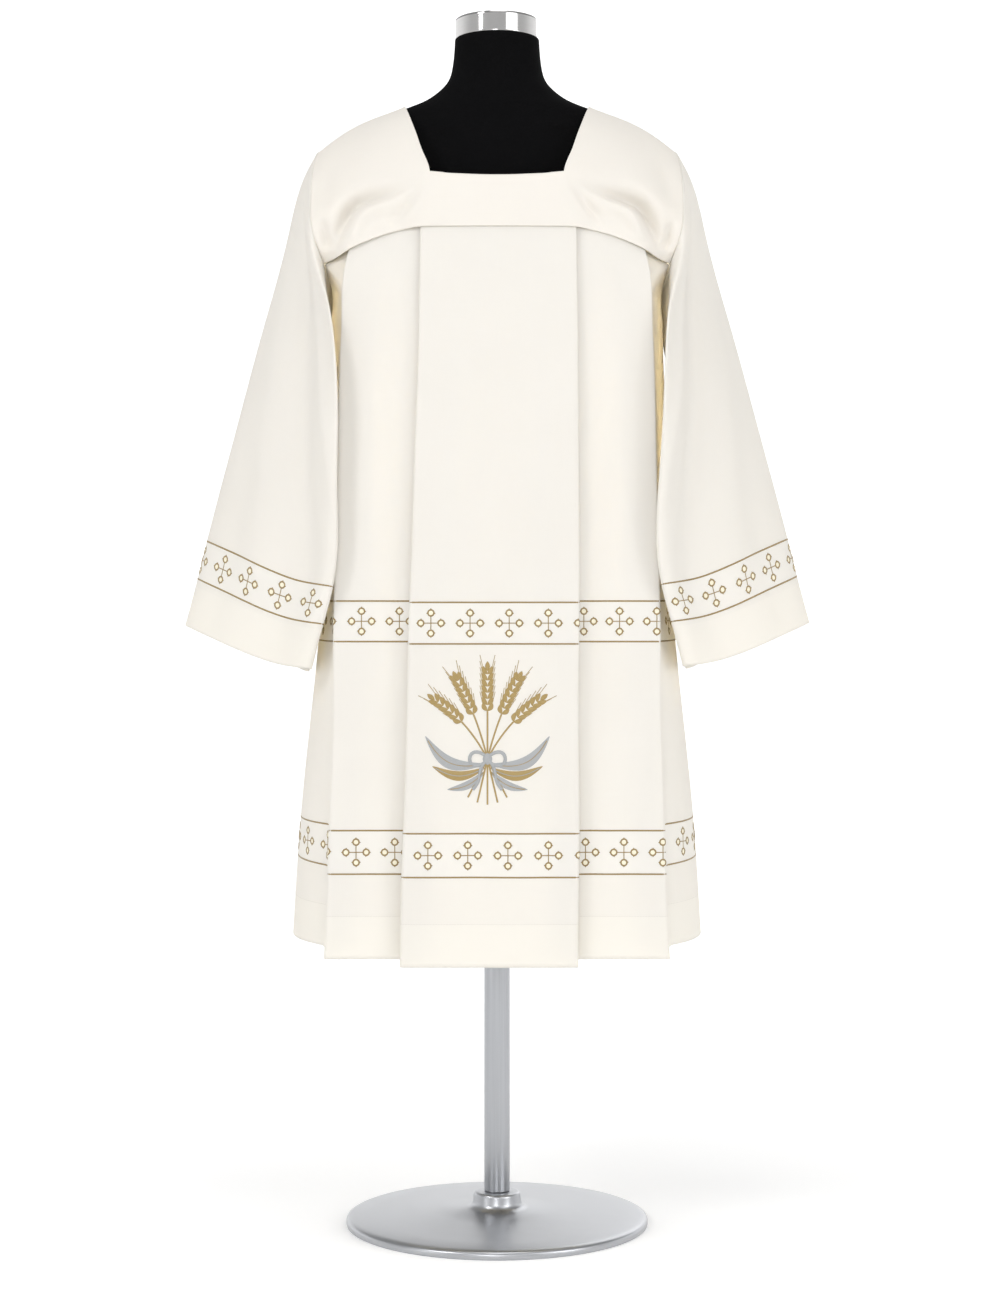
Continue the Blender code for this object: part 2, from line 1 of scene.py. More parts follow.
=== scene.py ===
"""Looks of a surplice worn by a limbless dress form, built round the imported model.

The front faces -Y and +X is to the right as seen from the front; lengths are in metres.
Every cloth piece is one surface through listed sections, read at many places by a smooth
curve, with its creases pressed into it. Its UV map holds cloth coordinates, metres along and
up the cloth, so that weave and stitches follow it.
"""
import bmesh
import bpy
import numpy as np
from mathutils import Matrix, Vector


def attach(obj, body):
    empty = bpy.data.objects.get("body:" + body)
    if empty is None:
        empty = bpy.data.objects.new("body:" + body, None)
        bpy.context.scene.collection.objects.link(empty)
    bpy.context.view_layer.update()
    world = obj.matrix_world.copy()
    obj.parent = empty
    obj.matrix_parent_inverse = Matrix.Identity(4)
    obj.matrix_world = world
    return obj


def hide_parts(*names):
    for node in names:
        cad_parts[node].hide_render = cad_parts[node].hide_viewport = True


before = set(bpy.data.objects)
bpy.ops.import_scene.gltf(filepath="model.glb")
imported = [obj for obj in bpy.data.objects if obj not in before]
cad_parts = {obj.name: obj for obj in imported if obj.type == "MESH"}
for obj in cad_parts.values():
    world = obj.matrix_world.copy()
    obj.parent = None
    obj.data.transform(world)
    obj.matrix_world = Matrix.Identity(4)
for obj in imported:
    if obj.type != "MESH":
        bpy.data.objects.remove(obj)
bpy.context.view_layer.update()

# ------------------------------------------------------------------ the dress form
# A limbless form: a moulded torso and neck under a tight black knitted cover, closed at the
# neck by a turned and polished chrome cap. A steel tube carries it and stands in the hub of
# a heavy turned steel base.
TORSO_SECTIONS = np.array([
    # height  half width  half depth  roundness
    (0.7000, 0.1400, 0.0980, 2.3), (0.7080, 0.1580, 0.1120, 2.3), (0.7400, 0.1680, 0.1190, 2.3),
    (0.8200, 0.1700, 0.1200, 2.3), (0.9200, 0.1550, 0.1110, 2.3), (1.0000, 0.1480, 0.1060, 2.3),
    (1.0800, 0.1540, 0.1110, 2.4), (1.1600, 0.1650, 0.1160, 2.5), (1.2200, 0.1720, 0.1150, 2.5),
    (1.2700, 0.1840, 0.1080, 2.5), (1.3050, 0.1930, 0.0990, 2.5), (1.3300, 0.1985, 0.0900, 2.4),
    (1.3450, 0.1980, 0.0840, 2.3), (1.3560, 0.1880, 0.0800, 2.3), (1.3660, 0.1690, 0.0760, 2.2),
    (1.3756, 0.1470, 0.0730, 2.2), (1.3855, 0.1235, 0.0700, 2.1), (1.3950, 0.0990, 0.0665, 2.0),
    (1.4080, 0.0770, 0.0630, 2.0), (1.4220, 0.0630, 0.0595, 2.0), (1.4400, 0.0562, 0.0562, 2.0),
    (1.4767, 0.0526, 0.0526, 2.0),
])
TORSO_ROWS = 220
TORSO_POINTS = 120
TORSO_CLOSE = (0.55, 0.0)          # shares of the end rings that close the torso's ends
CAP_PROFILE = [(0.0, 1.5020), (0.030, 1.5020), (0.0500, 1.5020), (0.0514, 1.5018),
               (0.0523, 1.5011), (0.0526, 1.5000), (0.0526, 1.4990), (0.0526, 1.4788),
               (0.0526, 1.4778), (0.0523, 1.4772), (0.0515, 1.4770), (0.0500, 1.4770),
               (0.0, 1.4770)]
POLE_PROFILE = [(0.0, 0.6997), (0.0150, 0.6997), (0.0158, 0.6992), (0.0160, 0.6982),
                (0.0160, 0.0418), (0.0158, 0.0408), (0.0150, 0.0403), (0.0, 0.0403)]
BASE_PROFILE = [(0.0, 0.0400), (0.0245, 0.0400), (0.0275, 0.0395), (0.0288, 0.0382),
                (0.0293, 0.0360), (0.0300, 0.0280), (0.0312, 0.0245), (0.0340, 0.0218),
                (0.0400, 0.0200), (0.0800, 0.0165), (0.1500, 0.0130), (0.1780, 0.0112),
                (0.1835, 0.0103), (0.1868, 0.0088), (0.1879, 0.0066), (0.1880, 0.0024),
                (0.1876, 0.0009), (0.1860, 0.0), (0.0, 0.0)]
TURNED_POINTS = 128


def spline_read(places, values, at):
    """Natural cubic spline through the rows of a table, read at many places.

    Between two rows it is the cubic whose slope and bend run on into the next one, which
    solves one equation a row: the bends weighted by the row spacings equal six times the
    change of slope there. The bend is nothing at both ends.
    """
    gap = np.diff(places)[:, None]
    slope = np.diff(values, axis=0) / gap
    count = len(places)
    system = np.eye(count)
    rows = np.arange(1, count - 1)
    system[rows, rows - 1] = gap[:-1, 0]
    system[rows, rows] = 2 * (gap[:-1, 0] + gap[1:, 0])
    system[rows, rows + 1] = gap[1:, 0]
    turn = np.zeros_like(values)
    turn[1:-1] = 6 * (slope[1:] - slope[:-1])
    bend = np.linalg.solve(system, turn)
    low = np.clip(np.searchsorted(places, at, side="right") - 1, 0, count - 2)
    after = ((at - places[low]) / gap[low, 0])[:, None]
    before = 1 - after
    curve = (before ** 3 - before) * bend[low] + (after ** 3 - after) * bend[low + 1]
    return before * values[low] + after * values[low + 1] + curve * gap[low] ** 2 / 6


def grid_quads(rows, columns, closed=False):
    """Corners of the quads of a grid of points that run row by row; closed joins its last
    column to its first."""
    ids = np.arange(rows * columns).reshape(rows, columns)
    if closed:
        ids = np.hstack([ids, ids[:, :1]])
    return np.stack([ids[:-1, :-1], ids[:-1, 1:], ids[1:, 1:], ids[1:, :-1]], -1).reshape(-1, 4)


def make_piece(name, points, quads, material):
    """One smooth mesh of points and quads, riding on the part. Its quads' corners run so
    that they face outwards."""
    mesh = bpy.data.meshes.new(name)
    mesh.from_pydata(points.reshape(-1, 3), [], quads)
    mesh.materials.append(material)
    mesh.shade_smooth()
    piece = bpy.data.objects.new(name, mesh)
    bpy.context.scene.collection.objects.link(piece)
    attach(piece, "root")
    return piece


def turned(profile):
    """A profile of (radius, height) pairs carried round the upright axis: each point becomes
    a ring (radius * cos, radius * sin, height)."""
    radius, height = np.array(profile).T[:, :, None]
    angle = np.linspace(0, 2 * np.pi, TURNED_POINTS, endpoint=False)
    points = np.stack([radius * np.cos(angle), radius * np.sin(angle), height + 0 * angle], -1)
    return points, grid_quads(len(profile), TURNED_POINTS, closed=True)[:, ::-1]


def tidy_mesh(piece, distance=1e-6):
    """Merges doubled points, as at a pole, and drops the faces that vanish with them."""
    shape = bmesh.new()
    shape.from_mesh(piece.data)
    bmesh.ops.remove_doubles(shape, verts=shape.verts, dist=distance)
    bmesh.ops.dissolve_degenerate(shape, edges=shape.edges, dist=distance / 10)
    shape.to_mesh(piece.data)
    shape.free()
    piece.data.shade_smooth()


def add_node(tree, kind, inputs=None, **settings):
    """One shader node. An input is a number, a colour, or another node's output to join."""
    made = tree.nodes.new(kind)
    for setting, value in settings.items():
        setattr(made, setting, value)
    for socket, value in (inputs or {}).items():
        if isinstance(value, bpy.types.NodeSocket):
            tree.links.new(value, made.inputs[socket])
        else:
            made.inputs[socket].default_value = value
    return made


def make_finish(name, **constants):
    """A new material, its node tree and its Principled shader with the given sockets set."""
    material = bpy.data.materials.new(name)
    material.use_nodes = True
    tree = material.node_tree
    shader = tree.nodes["Principled BSDF"]
    for socket, value in constants.items():
        shader.inputs[socket.replace("_", " ")].default_value = value
    return material, tree, shader


def grey_span(tree, source, low, high, socket):
    """Joins a 0-to-1 output to a socket through a range from low to high."""
    span = add_node(tree, "ShaderNodeMapRange", {0: source, 3: low, 4: high})
    tree.links.new(span.outputs[0], socket)


def colour_span(tree, source, low, high):
    """A colour that runs from low to high with a 0-to-1 output."""
    mix = add_node(tree, "ShaderNodeMix", {0: source, 6: (*low, 1), 7: (*high, 1)},
                   data_type="RGBA")
    return mix.outputs[2]


def paint(tree, shader, source, low, high):
    """Gives a shader the colour that runs from low to high with a 0-to-1 output."""
    tree.links.new(colour_span(tree, source, low, high), shader.inputs["Base Color"])


def noise_marks(tree, scale, detail, place=None):
    """Noise over places, finer along each axis by its scale, so that marks run one way. The
    places are the object's own, in metres, unless others are given."""
    if place is None:
        place = add_node(tree, "ShaderNodeTexCoord").outputs["Object"]
    spread = add_node(tree, "ShaderNodeMapping", {0: place, "Scale": scale})
    noise = add_node(tree, "ShaderNodeTexNoise", {"Vector": spread.outputs[0], "Scale": 1.0,
                                                  "Detail": detail})
    return noise.outputs[0]


def add_relief(tree, shader, height, strength, depth):
    """Relief too small for the mesh: a 0-to-1 output as bump of the given depth."""
    bump = add_node(tree, "ShaderNodeBump", {"Strength": strength, "Distance": depth, "Height": height})
    tree.links.new(bump.outputs[0], shader.inputs["Normal"])


def form_piece(name, points, quads, material, node_name, slot):
    """A piece of the stand, with its poles closed, in place of its solid."""
    piece = make_piece(name, points, quads, material)
    tidy_mesh(piece)
    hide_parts(node_name)
    return piece


# The knitted cover: fine ribs across the form, matt, with a faint bloom.
jersey, tree, shader = make_finish("black_jersey", Roughness=0.95, Sheen_Weight=0.004,
                                   Sheen_Roughness=0.5, Specular_IOR_Level=0.03)
place = add_node(tree, "ShaderNodeTexCoord").outputs["Object"]
ribs = add_node(tree, "ShaderNodeTexWave", {"Vector": place, "Scale": 260.0, "Distortion": 0.6,
                                            "Detail": 1.0}, bands_direction="Z")
fuzz = add_node(tree, "ShaderNodeTexNoise", {"Vector": place, "Scale": 420.0, "Detail": 2.0})
paint(tree, shader, fuzz.outputs[0], (0.0020, 0.0020, 0.0022), (0.0055, 0.0055, 0.0060))
add_relief(tree, shader, ribs.outputs[0], 0.25, 0.0003)

heights = np.linspace(TORSO_SECTIONS[0, 0], TORSO_SECTIONS[-1, 0], TORSO_ROWS)
half_width, half_depth, roundness = spline_read(TORSO_SECTIONS[:, 0], TORSO_SECTIONS[:, 1:], heights).T
angle = np.linspace(0, 2 * np.pi, TORSO_POINTS, endpoint=False)
power = (2 / roundness)[:, None]
ring_x = np.sign(np.cos(angle)) * np.abs(np.cos(angle)) ** power
ring_y = np.sign(np.sin(angle)) * np.abs(np.sin(angle)) ** power
torso = np.stack([half_width[:, None] * ring_x, half_depth[:, None] * ring_y,
                  heights[:, None] + 0 * ring_x], -1)
closing = [torso[end] * (share, share, 1) for end in (0, -1) for share in TORSO_CLOSE]
torso = np.concatenate([[closing[1], closing[0]], torso, [closing[2], closing[3]]])
form_cover = form_piece("form_cover", torso, grid_quads(len(torso), TORSO_POINTS, closed=True),
                        jersey, "form_torso", "jersey")

# Turned metal: a polished chrome cap with the finest marks round it, and satin steel that is
# brushed along the pole and round the base.
STEEL_SHADES = ((0.40, 0.41, 0.43), (0.50, 0.51, 0.53))
for name, node_name, slot, profile, marks, detail, shades, roughness in (
    ("form_cap", "neck_cap", "chrome", CAP_PROFILE, (2, 2, 900), 2.0,
     ((0.50, 0.495, 0.49), (0.58, 0.575, 0.57)), (0.05, 0.12)),
    ("form_pole", "pole", "steel", POLE_PROFILE, (600, 600, 6), 3.0, STEEL_SHADES, (0.26, 0.40)),
    ("form_base", "base", "steel", BASE_PROFILE, (40, 40, 600), 3.0, STEEL_SHADES, (0.26, 0.40)),
):
    metal, tree, shader = make_finish(name + "_" + slot, Metallic=1.0)
    brushing = noise_marks(tree, marks, detail)
    paint(tree, shader, brushing, *shades)
    grey_span(tree, brushing, *roughness, shader.inputs["Roughness"])
    form_piece(name, *turned(profile), metal, node_name, slot)

# ------------------------------------------------------------------ the ivory cloth
# A light wool blend in plain weave: matt ivory, with slightly uneven threads. The cloth
# under the bands of embroidery looks a little whiter, and the doubled hem a little warmer.
# Its attribute named level is height on the body's centre panel, or what stands for it.
THREAD_PITCH = 0.00062
WAVE_PERIOD = 0.314159          # period of the wave texture at scale 1
BAND_LINES = np.array([0.4495, 0.5005, 0.7230, 0.7720])    # levels of the bands' lines
HEM_DEPTH = 0.050
GROUND_COLOUR = (0.935, 0.922, 0.895)
HEM_COLOUR = (0.950, 0.930, 0.878)
TINT_SHARE = 0.60               # how far a band's ground or a hem takes its own colour
THROUGH_COLOUR = (0.96, 0.90, 0.76, 1)      # light that comes through the cloth
THROUGH_SHARE = 0.27


def combined(tree, operation, *values):
    """The output of one sum, product or comparison of outputs and numbers."""
    return add_node(tree, "ShaderNodeMath", dict(enumerate(values)), operation=operation).outputs[0]


def cloth_finish(name, low, high):
    """Ivory plain weave that follows the cloth coordinates of the UV map named cloth."""
    material, tree, shader = make_finish(name, Roughness=0.82, Sheen_Weight=0.10,
                                         Sheen_Roughness=0.45, Specular_IOR_Level=0.25)
    cloth = add_node(tree, "ShaderNodeUVMap", uv_map="cloth").outputs[0]
    place = add_node(tree, "ShaderNodeTexCoord").outputs["Object"]
    threads = [
        add_node(tree, "ShaderNodeTexWave", {"Vector": cloth, "Scale": WAVE_PERIOD / THREAD_PITCH,
                                             "Distortion": 0.4}, bands_direction=way).outputs[1]
        for way in ("X", "Y")
    ]
    weave = combined(tree, "MULTIPLY", *threads)
    uneven = combined(tree, "MULTIPLY", noise_marks(tree, (900, 26, 1), 3.0, cloth),
                      noise_marks(tree, (26, 900, 1), 3.0, cloth))
    add_relief(tree, shader, combined(tree, "ADD", weave, uneven), 0.22, 0.00025)
    mottle = add_node(tree, "ShaderNodeTexNoise", {"Vector": place, "Scale": 7.0, "Detail": 4.0})
    colour = colour_span(tree, combined(tree, "ADD", mottle.outputs[0], uneven), low, high)
    level = add_node(tree, "ShaderNodeAttribute", attribute_name="level").outputs["Fac"]
    up = add_node(tree, "ShaderNodeSeparateXYZ", {0: cloth}).outputs[1]
    regions = [(level, (lower + upper) / 2, (upper - lower) / 2, GROUND_COLOUR)
               for lower, upper in (BAND_LINES[2:], BAND_LINES[:2])]
    regions.append((up, 0.0, HEM_DEPTH, HEM_COLOUR))
    for measure, middle, reach, tint in regions:
        inside = combined(tree, "COMPARE", measure, middle, reach)
        share = combined(tree, "MULTIPLY", inside, TINT_SHARE)
        colour = add_node(tree, "ShaderNodeMix", {0: share, 6: colour, 7: (*tint, 1)},
                          data_type="RGBA").outputs[2]
    tree.links.new(colour, shader.inputs["Base Color"])
    through = add_node(tree, "ShaderNodeBsdfTranslucent", {"Color": THROUGH_COLOUR})
    both = add_node(tree, "ShaderNodeMixShader", {0: THROUGH_SHARE, 1: shader.outputs[0],
                                                  2: through.outputs[0]})
    tree.links.new(both.outputs[0], tree.nodes["Material Output"].inputs["Surface"])
    return material


ivory = cloth_finish("ivory_cloth", (0.885, 0.863, 0.820), (0.925, 0.905, 0.868))
yoke_ivory = cloth_finish("ivory_cloth_yoke", (0.912, 0.881, 0.830), (0.948, 0.919, 0.874))

# ------------------------------------------------------------------ the pleated body
# Front and back: each is one panel with two knife pleats a side, pressed at the yoke and
# hanging freely below, with a plain piece that turns back to the side seam. It is sewn up
# behind the yoke's lower edge and into the undersides of the armholes, and hemmed below.
CLOTH = 0.0012
SEAM = 0.0015
EDGE_GAP = 0.0006
LAP_RISE = 0.003
SEAM_HEIGHT = 1.2200
SEAM_DROP_START = 0.085
SEAM_DROP = 1.52
SEAM_DROP_POWER = 1.73
# Heights of the hem: centre panel, side panels, and side pieces at the pleat and at the seam.
HEM_HEIGHTS = (0.3450, 0.3527, 0.3640, 0.3705)
UNDERLAY = 0.035
CORNER_RADIUS = 0.008
CORNER_SHARE = 0.06
BODY_COLUMNS = ("depth", "bow", "fold_left", "fold_right", "fold_outer", "side", "side_bow", "turn")
BODY_SECTIONS = np.array([
    # drop   depth   bow    fold_left fold_right fold_outer side side_bow turn
    (0.000, 0.1475, 0.0180, 0.0908, 0.0944, 0.1760, 0.1975, 3.20, 0.0011),
    (0.035, 0.1492, 0.0160, 0.0911, 0.0947, 0.1830, 0.2022, 4.20, 0.0015),
    (0.090, 0.1514, 0.0140, 0.0919, 0.0954, 0.1857, 0.2050, 3.20, 0.0018),
    (0.157, 0.1540, 0.0120, 0.0928, 0.0960, 0.1875, 0.2082, 2.00, 0.0020),
    (0.300, 0.1605, 0.0080, 0.0969, 0.0967, 0.1898, 0.2110, 1.50, 0.0023),
    (0.455, 0.1680, 0.0040, 0.1010, 0.0973, 0.1925, 0.2160, 1.75, 0.0026),
    (0.567, 0.1725, 0.0030, 0.1044, 0.0966, 0.1937, 0.2220, 2.80, 0.0028),
    (0.670, 0.1780, 0.0020, 0.1060, 0.0958, 0.1940, 0.2300, 3.40, 0.0031),
    (0.820, 0.1870, 0.0010, 0.1097, 0.0966, 0.1980, 0.2415, 3.60, 0.0036),
    (0.900, 0.1920, 0.0005, 0.1120, 0.0955, 0.1998, 0.2462, 3.40, 0.0038),
    (1.000, 0.1990, 0.0000, 0.1130, 0.0948, 0.2030, 0.2515, 3.00, 0.0042),
])
BODY_ROWS = 150
CENTRE_COLUMNS = 22
PANEL_COLUMNS = 22
FOLD_COLUMNS = 7
BRIDGE_COLUMNS = 6
CORNER_COLUMNS = 5
SIDE_COLUMNS = 16
ARMHOLE = np.array([
    # across  depth    height    shoulder tip, chest, notch, heel, underarm
    (0.2220, 0.0000, 1.3370), (0.2262, -0.0640, 1.2960), (0.2230, -0.1060, 1.2230),
    (0.2095, -0.0980, 1.1830), (0.1985, 0.0000, 1.1520),
])
HEEL_STEP = np.array([0.2, 0.24, 0.36])      # one more corner's shares of the way from heel to underarm
RING_SAMPLES = (4, 4, 4, 3, 4, 3, 3, 4, 4, 4)
RING_FINER = 3                 # fine points to each of those samples
# Creases of the pleated fronts, as soft valleys (depth above 0) and ridges (below 0).
BODY_CREASES = [
    # across and height of each end       width   depth
    (0.0060, 0.985, 0.0040, 0.720, 0.020, 0.0026),
    (-0.0350, 1.150, -0.0300, 0.830, 0.017, 0.0014),
    (0.0420, 1.190, 0.0460, 0.900, 0.018, 0.0015),
    (-0.0640, 1.080, -0.0700, 0.560, 0.016, -0.0014),
    (0.0300, 0.760, 0.0250, 0.400, 0.022, -0.0016),
    (-0.0200, 0.640, -0.0320, 0.350, 0.024, 0.0020),
    (0.0680, 0.620, 0.0700, 0.350, 0.020, 0.0016),
    (-0.1130, 1.190, -0.1230, 0.360, 0.014, 0.0030),
    (0.1090, 1.195, 0.1120, 0.360, 0.013, 0.0036),
    (-0.1500, 1.180, -0.1560, 0.700, 0.018, -0.0018),
    (0.1500, 1.120, 0.1500, 0.640, 0.019, -0.0020),
    (-0.1450, 0.700, -0.1560, 0.350, 0.018, 0.0018),
    (0.1560, 0.600, 0.1540, 0.350, 0.020, 0.0014),
    (-0.1080, 1.204, -0.1640, 1.146, 0.009, 0.0024),
    (-0.1180, 1.160, -0.1600, 1.100, 0.011, -0.0018),
    (0.1180, 1.200, 0.1660, 1.140, 0.009, 0.0026),
    (0.1280, 1.158, 0.1640, 1.090, 0.011, -0.0018),
]


def between(start, end, share):
    """The blend of two values: start at share 0, end at share 1."""
    return start * (1 - share) + end * share


def ring_through(corners, samples):
    """Closed centripetal Catmull-Rom ring: the knots grow by the root of each step's length,
    and each stretch blends its four corners in pairs, three times over."""
    ring = []
    for index, count in enumerate(samples):
        four = np.roll(corners, 1 - index, axis=0)[:4]
        knots = np.concatenate([[0], np.cumsum(np.linalg.norm(np.diff(four, axis=0), axis=1) ** 0.5)])
        at = np.linspace(knots[1], knots[2], count, endpoint=False)[:, None]
        level = [four[corner] for corner in range(4)]
        for reach in (1, 2):
            level = [between(level[low], level[low + 1],
                             (at - knots[low]) / (knots[low + reach] - knots[low]))
                     for low in range(len(level) - 1)]
        ring.append(between(level[0], level[1], (at - knots[1]) / (knots[2] - knots[1])))
    return np.concatenate(ring)


def armhole_ring(side):
    """The armhole seam, from the shoulder tip down the front and up the back."""
    tip, chest, notch, heel, under = ARMHOLE
    step = heel + (under - heel) * HEEL_STEP
    mirror = (1, -1, 1)
    corners = np.array([tip, chest, notch, heel, step, under, step * mirror, heel * mirror,
                        notch * mirror, chest * mirror])
    return ring_through(corners, np.array(RING_SAMPLES) * RING_FINER) * (side, 1, 1)


RING_NOTCH, RING_HEEL, RING_UNDER = np.cumsum(RING_SAMPLES)[[1, 2, 4]] * RING_FINER


def seam_height(across):
    """Height of the yoke's lower seam: level in the middle, dipping by a power outside it."""
    return SEAM_HEIGHT - SEAM_DROP * np.maximum(np.abs(across) - SEAM_DROP_START, 0) ** SEAM_DROP_POWER


def fold(edge, layer, turn, outward):
    """A fold's half circle, from one layer to the next: cosine across, sine in depth."""
    angle = np.linspace(-np.pi / 2, np.pi / 2, FOLD_COLUMNS)
    return edge - outward * turn + outward * turn * np.cos(angle), layer + turn * (1 + np.sin(angle))


def half_plan(body, inner):
    """Plan of half a panel for every row: centre panel, inner pleat, side panel, outer pleat,
    a short bridge to the corner, and the side piece. It gives distance from the centre and
    depth."""
    turn = body["turn"]
    outer = body["fold_outer"]
    first = inner - UNDERLAY + turn
    flat = np.linspace(0, 1, PANEL_COLUMNS + 2)[1:-1]
    spans = [
        (np.linspace(0, 1, CENTRE_COLUMNS, endpoint=False) * (inner - turn), 0 * turn),
        fold(inner, 0 * turn, turn, 1),
        fold(inner - UNDERLAY, 2 * turn, turn, -1),
        (between(first, outer - turn, flat), 4 * turn),
        fold(outer, 4 * turn, turn, 1),
        fold(outer - UNDERLAY, 6 * turn, turn, -1),
    ]
    across = np.hstack([span[0] for span in spans])
    layer = np.hstack([span[1] + 0 * span[0] for span in spans])
    depth = -body["depth"] + body["bow"] * (across / outer) ** 2 + layer
    corner = between(outer, body["side"], CORNER_SHARE)
    face = -body["depth"] + body["bow"] * (corner / outer) ** 2 + 8 * turn
    round_off = np.linspace(-np.pi / 2, -np.pi / 6, CORNER_COLUMNS)
    run = np.linspace(0, 1, SIDE_COLUMNS)
    bowed = body["side"] - (body["side"] - corner) * (1 - run) ** body["side_bow"]
    rounded = corner - CORNER_RADIUS * (1 - np.cos(round_off))
    rounded_depth = face + CORNER_RADIUS * (1 + np.sin(round_off))
    across = np.hstack([across, between(across[:, -1:], rounded[:, :1], bridge_share), rounded, bowed])
    depth = np.hstack([depth, between(depth[:, -1:], rounded_depth[:, :1], bridge_share), rounded_depth,
                       between(face + CORNER_RADIUS, -EDGE_GAP / 2, run)])
    return across, depth


# Columns of half a panel: where the side piece starts, and which hem each column has.
FRONT_COLUMNS = CENTRE_COLUMNS + PANEL_COLUMNS + 4 * FOLD_COLUMNS
CORNER_START = FRONT_COLUMNS + BRIDGE_COLUMNS
HALF_COLUMNS = CORNER_START + CORNER_COLUMNS + SIDE_COLUMNS
CENTRE_END = CENTRE_COLUMNS + FOLD_COLUMNS
PANEL_END = CENTRE_END + PANEL_COLUMNS + 2 * FOLD_COLUMNS
half_hem = np.repeat(HEM_HEIGHTS[:3], (CENTRE_END, PANEL_END - CENTRE_END, HALF_COLUMNS - PANEL_END))
bridge_share = np.arange(1, BRIDGE_COLUMNS + 1) / (BRIDGE_COLUMNS + 1)
# Share of the armhole's underside at each column of a side piece, whose rounded corner takes
# the first two ninths.
side_share = np.hstack([np.linspace(0, 2 / 9, CORNER_COLUMNS),
                        np.linspace(3 / 9, 1, SIDE_COLUMNS)])
half_hem[CORNER_START:] += (HEM_HEIGHTS[3] - HEM_HEIGHTS[2]) * side_share


def lengths_along(points):
    """Distance run along each row of a grid of points, from its first column."""
    steps = np.linalg.norm(np.diff(points, axis=1), axis=2)
    return np.hstack([np.zeros((len(points), 1)), np.cumsum(steps, axis=1)])


def press(places, creases):
    """Depth of listed creases at (across, height) places: each is a bell across the
    line between its two ends, faded in and out along it by the root of a sine."""
    total = np.zeros(places.shape[:-1])
    for x0, z0, x1, z1, width, depth in creases:
        run = np.array([x1 - x0, z1 - z0])
        offset = places - (x0, z0)
        along = np.clip(offset @ run / (run @ run), 0, 1)
        away = np.linalg.norm(offset - along[..., None] * run, axis=-1)
        total += depth * np.exp(-(away / width) ** 2) * np.sqrt(np.sin(np.pi * along) + 1e-9)
    return total


def body_grid():
    """Points of the pleated front, row by row from the yoke to the hem, from side seam to
    side seam. Height runs evenly from the upper edge to the hem; the first rows of a side
    piece ease from the armhole's underside onto the plan."""
    drop = np.linspace(0, 1, BODY_ROWS)
    read = spline_read(BODY_SECTIONS[:, 0], BODY_SECTIONS[:, 1:], drop)
    body = dict(zip(BODY_COLUMNS, read.T[:, :, None]))
    halves = []
    for side, inner in ((-1, body["fold_left"]), (1, body["fold_right"])):
        across, depth = half_plan(body, inner)
        ring = armhole_ring(side)[RING_HEEL:RING_UNDER + 1]
        reached = lengths_along(ring[None])[0]
        seat = np.stack([np.interp(side_share, reached / reached[-1], ring[:, axis])
                         for axis in range(3)], -1)
        seat -= (side * SEAM, 0, SEAM)
        ease = np.clip(1 - drop / BODY_SECTIONS[1, 0], 0, 1)[:, None]
        for plan, goal in ((across, side * seat[:, 0]), (depth, np.minimum(seat[:, 1], -EDGE_GAP / 2))):
            shift = goal - plan[0, CORNER_START:]
            plan[:, FRONT_COLUMNS:CORNER_START] += ease * bridge_share * shift[0]
            plan[:, CORNER_START:] += ease * shift
        top = seam_height(across[0]) + LAP_RISE
        top[FRONT_COLUMNS:CORNER_START] -= LAP_RISE * bridge_share
        top[CORNER_START:] = seat[:, 2]
        height = between(top, half_hem, drop[:, None])
        halves.append(np.stack([side * across, depth, height], -1))
    grid = np.hstack([halves[0][:, :0:-1], halves[1]])
    front = np.abs(np.arange(grid.shape[1]) - HALF_COLUMNS + 1) < FRONT_COLUMNS
    grid[:, front, 1] += press(grid[:, front][..., [0, 2]], BODY_CREASES)
    return grid


def lay_map(piece, name, coordinates):
    """Stores flat coordinates, one pair for each point of a piece, as a UV map."""
    corner = np.zeros(len(piece.data.loops), np.int32)
    piece.data.loops.foreach_get("vertex_index", corner)
    layer = piece.data.uv_layers.new(name=name)
    layer.uv.foreach_set("vector", coordinates[corner].astype(np.float32).ravel())


def lay_cloth(piece, coordinates, level=None):
    """Stores a piece's cloth coordinates as its UV map, and its level as an attribute."""
    lay_map(piece, "cloth", coordinates)
    attribute = piece.data.attributes.new("level", "FLOAT", "POINT")
    values = np.zeros(len(piece.data.vertices)) if level is None else level.ravel()
    attribute.data.foreach_set("value", values.astype(np.float32))


def add_wall(piece):
    """The cloth's thickness, half on each side of its surface."""
    wall = piece.modifiers.new("wall", "SOLIDIFY")
    wall.thickness = CLOTH
    wall.offset = 0


def cloth_piece(name, grid, level, node_name, outward, closed=False):
    """A piece of ivory cloth from a grid whose last row is its hem. outward is 1 where
    along-the-row crossed with down-the-column points out of the garment, and -1 elsewhere."""
    rows, columns = grid.shape[:2]
    piece = make_piece(name, grid, grid_quads(rows, columns, closed)[:, ::outward], ivory)
    across = lengths_along(grid)
    if not closed:
        across = across - across[:, columns // 2, None]
    up = lengths_along(grid.transpose(1, 0, 2)).T
    lay_cloth(piece, np.stack([across, up[-1] - up], -1).reshape(-1, 2), level)
    add_wall(piece)
    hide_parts(node_name)
    return piece


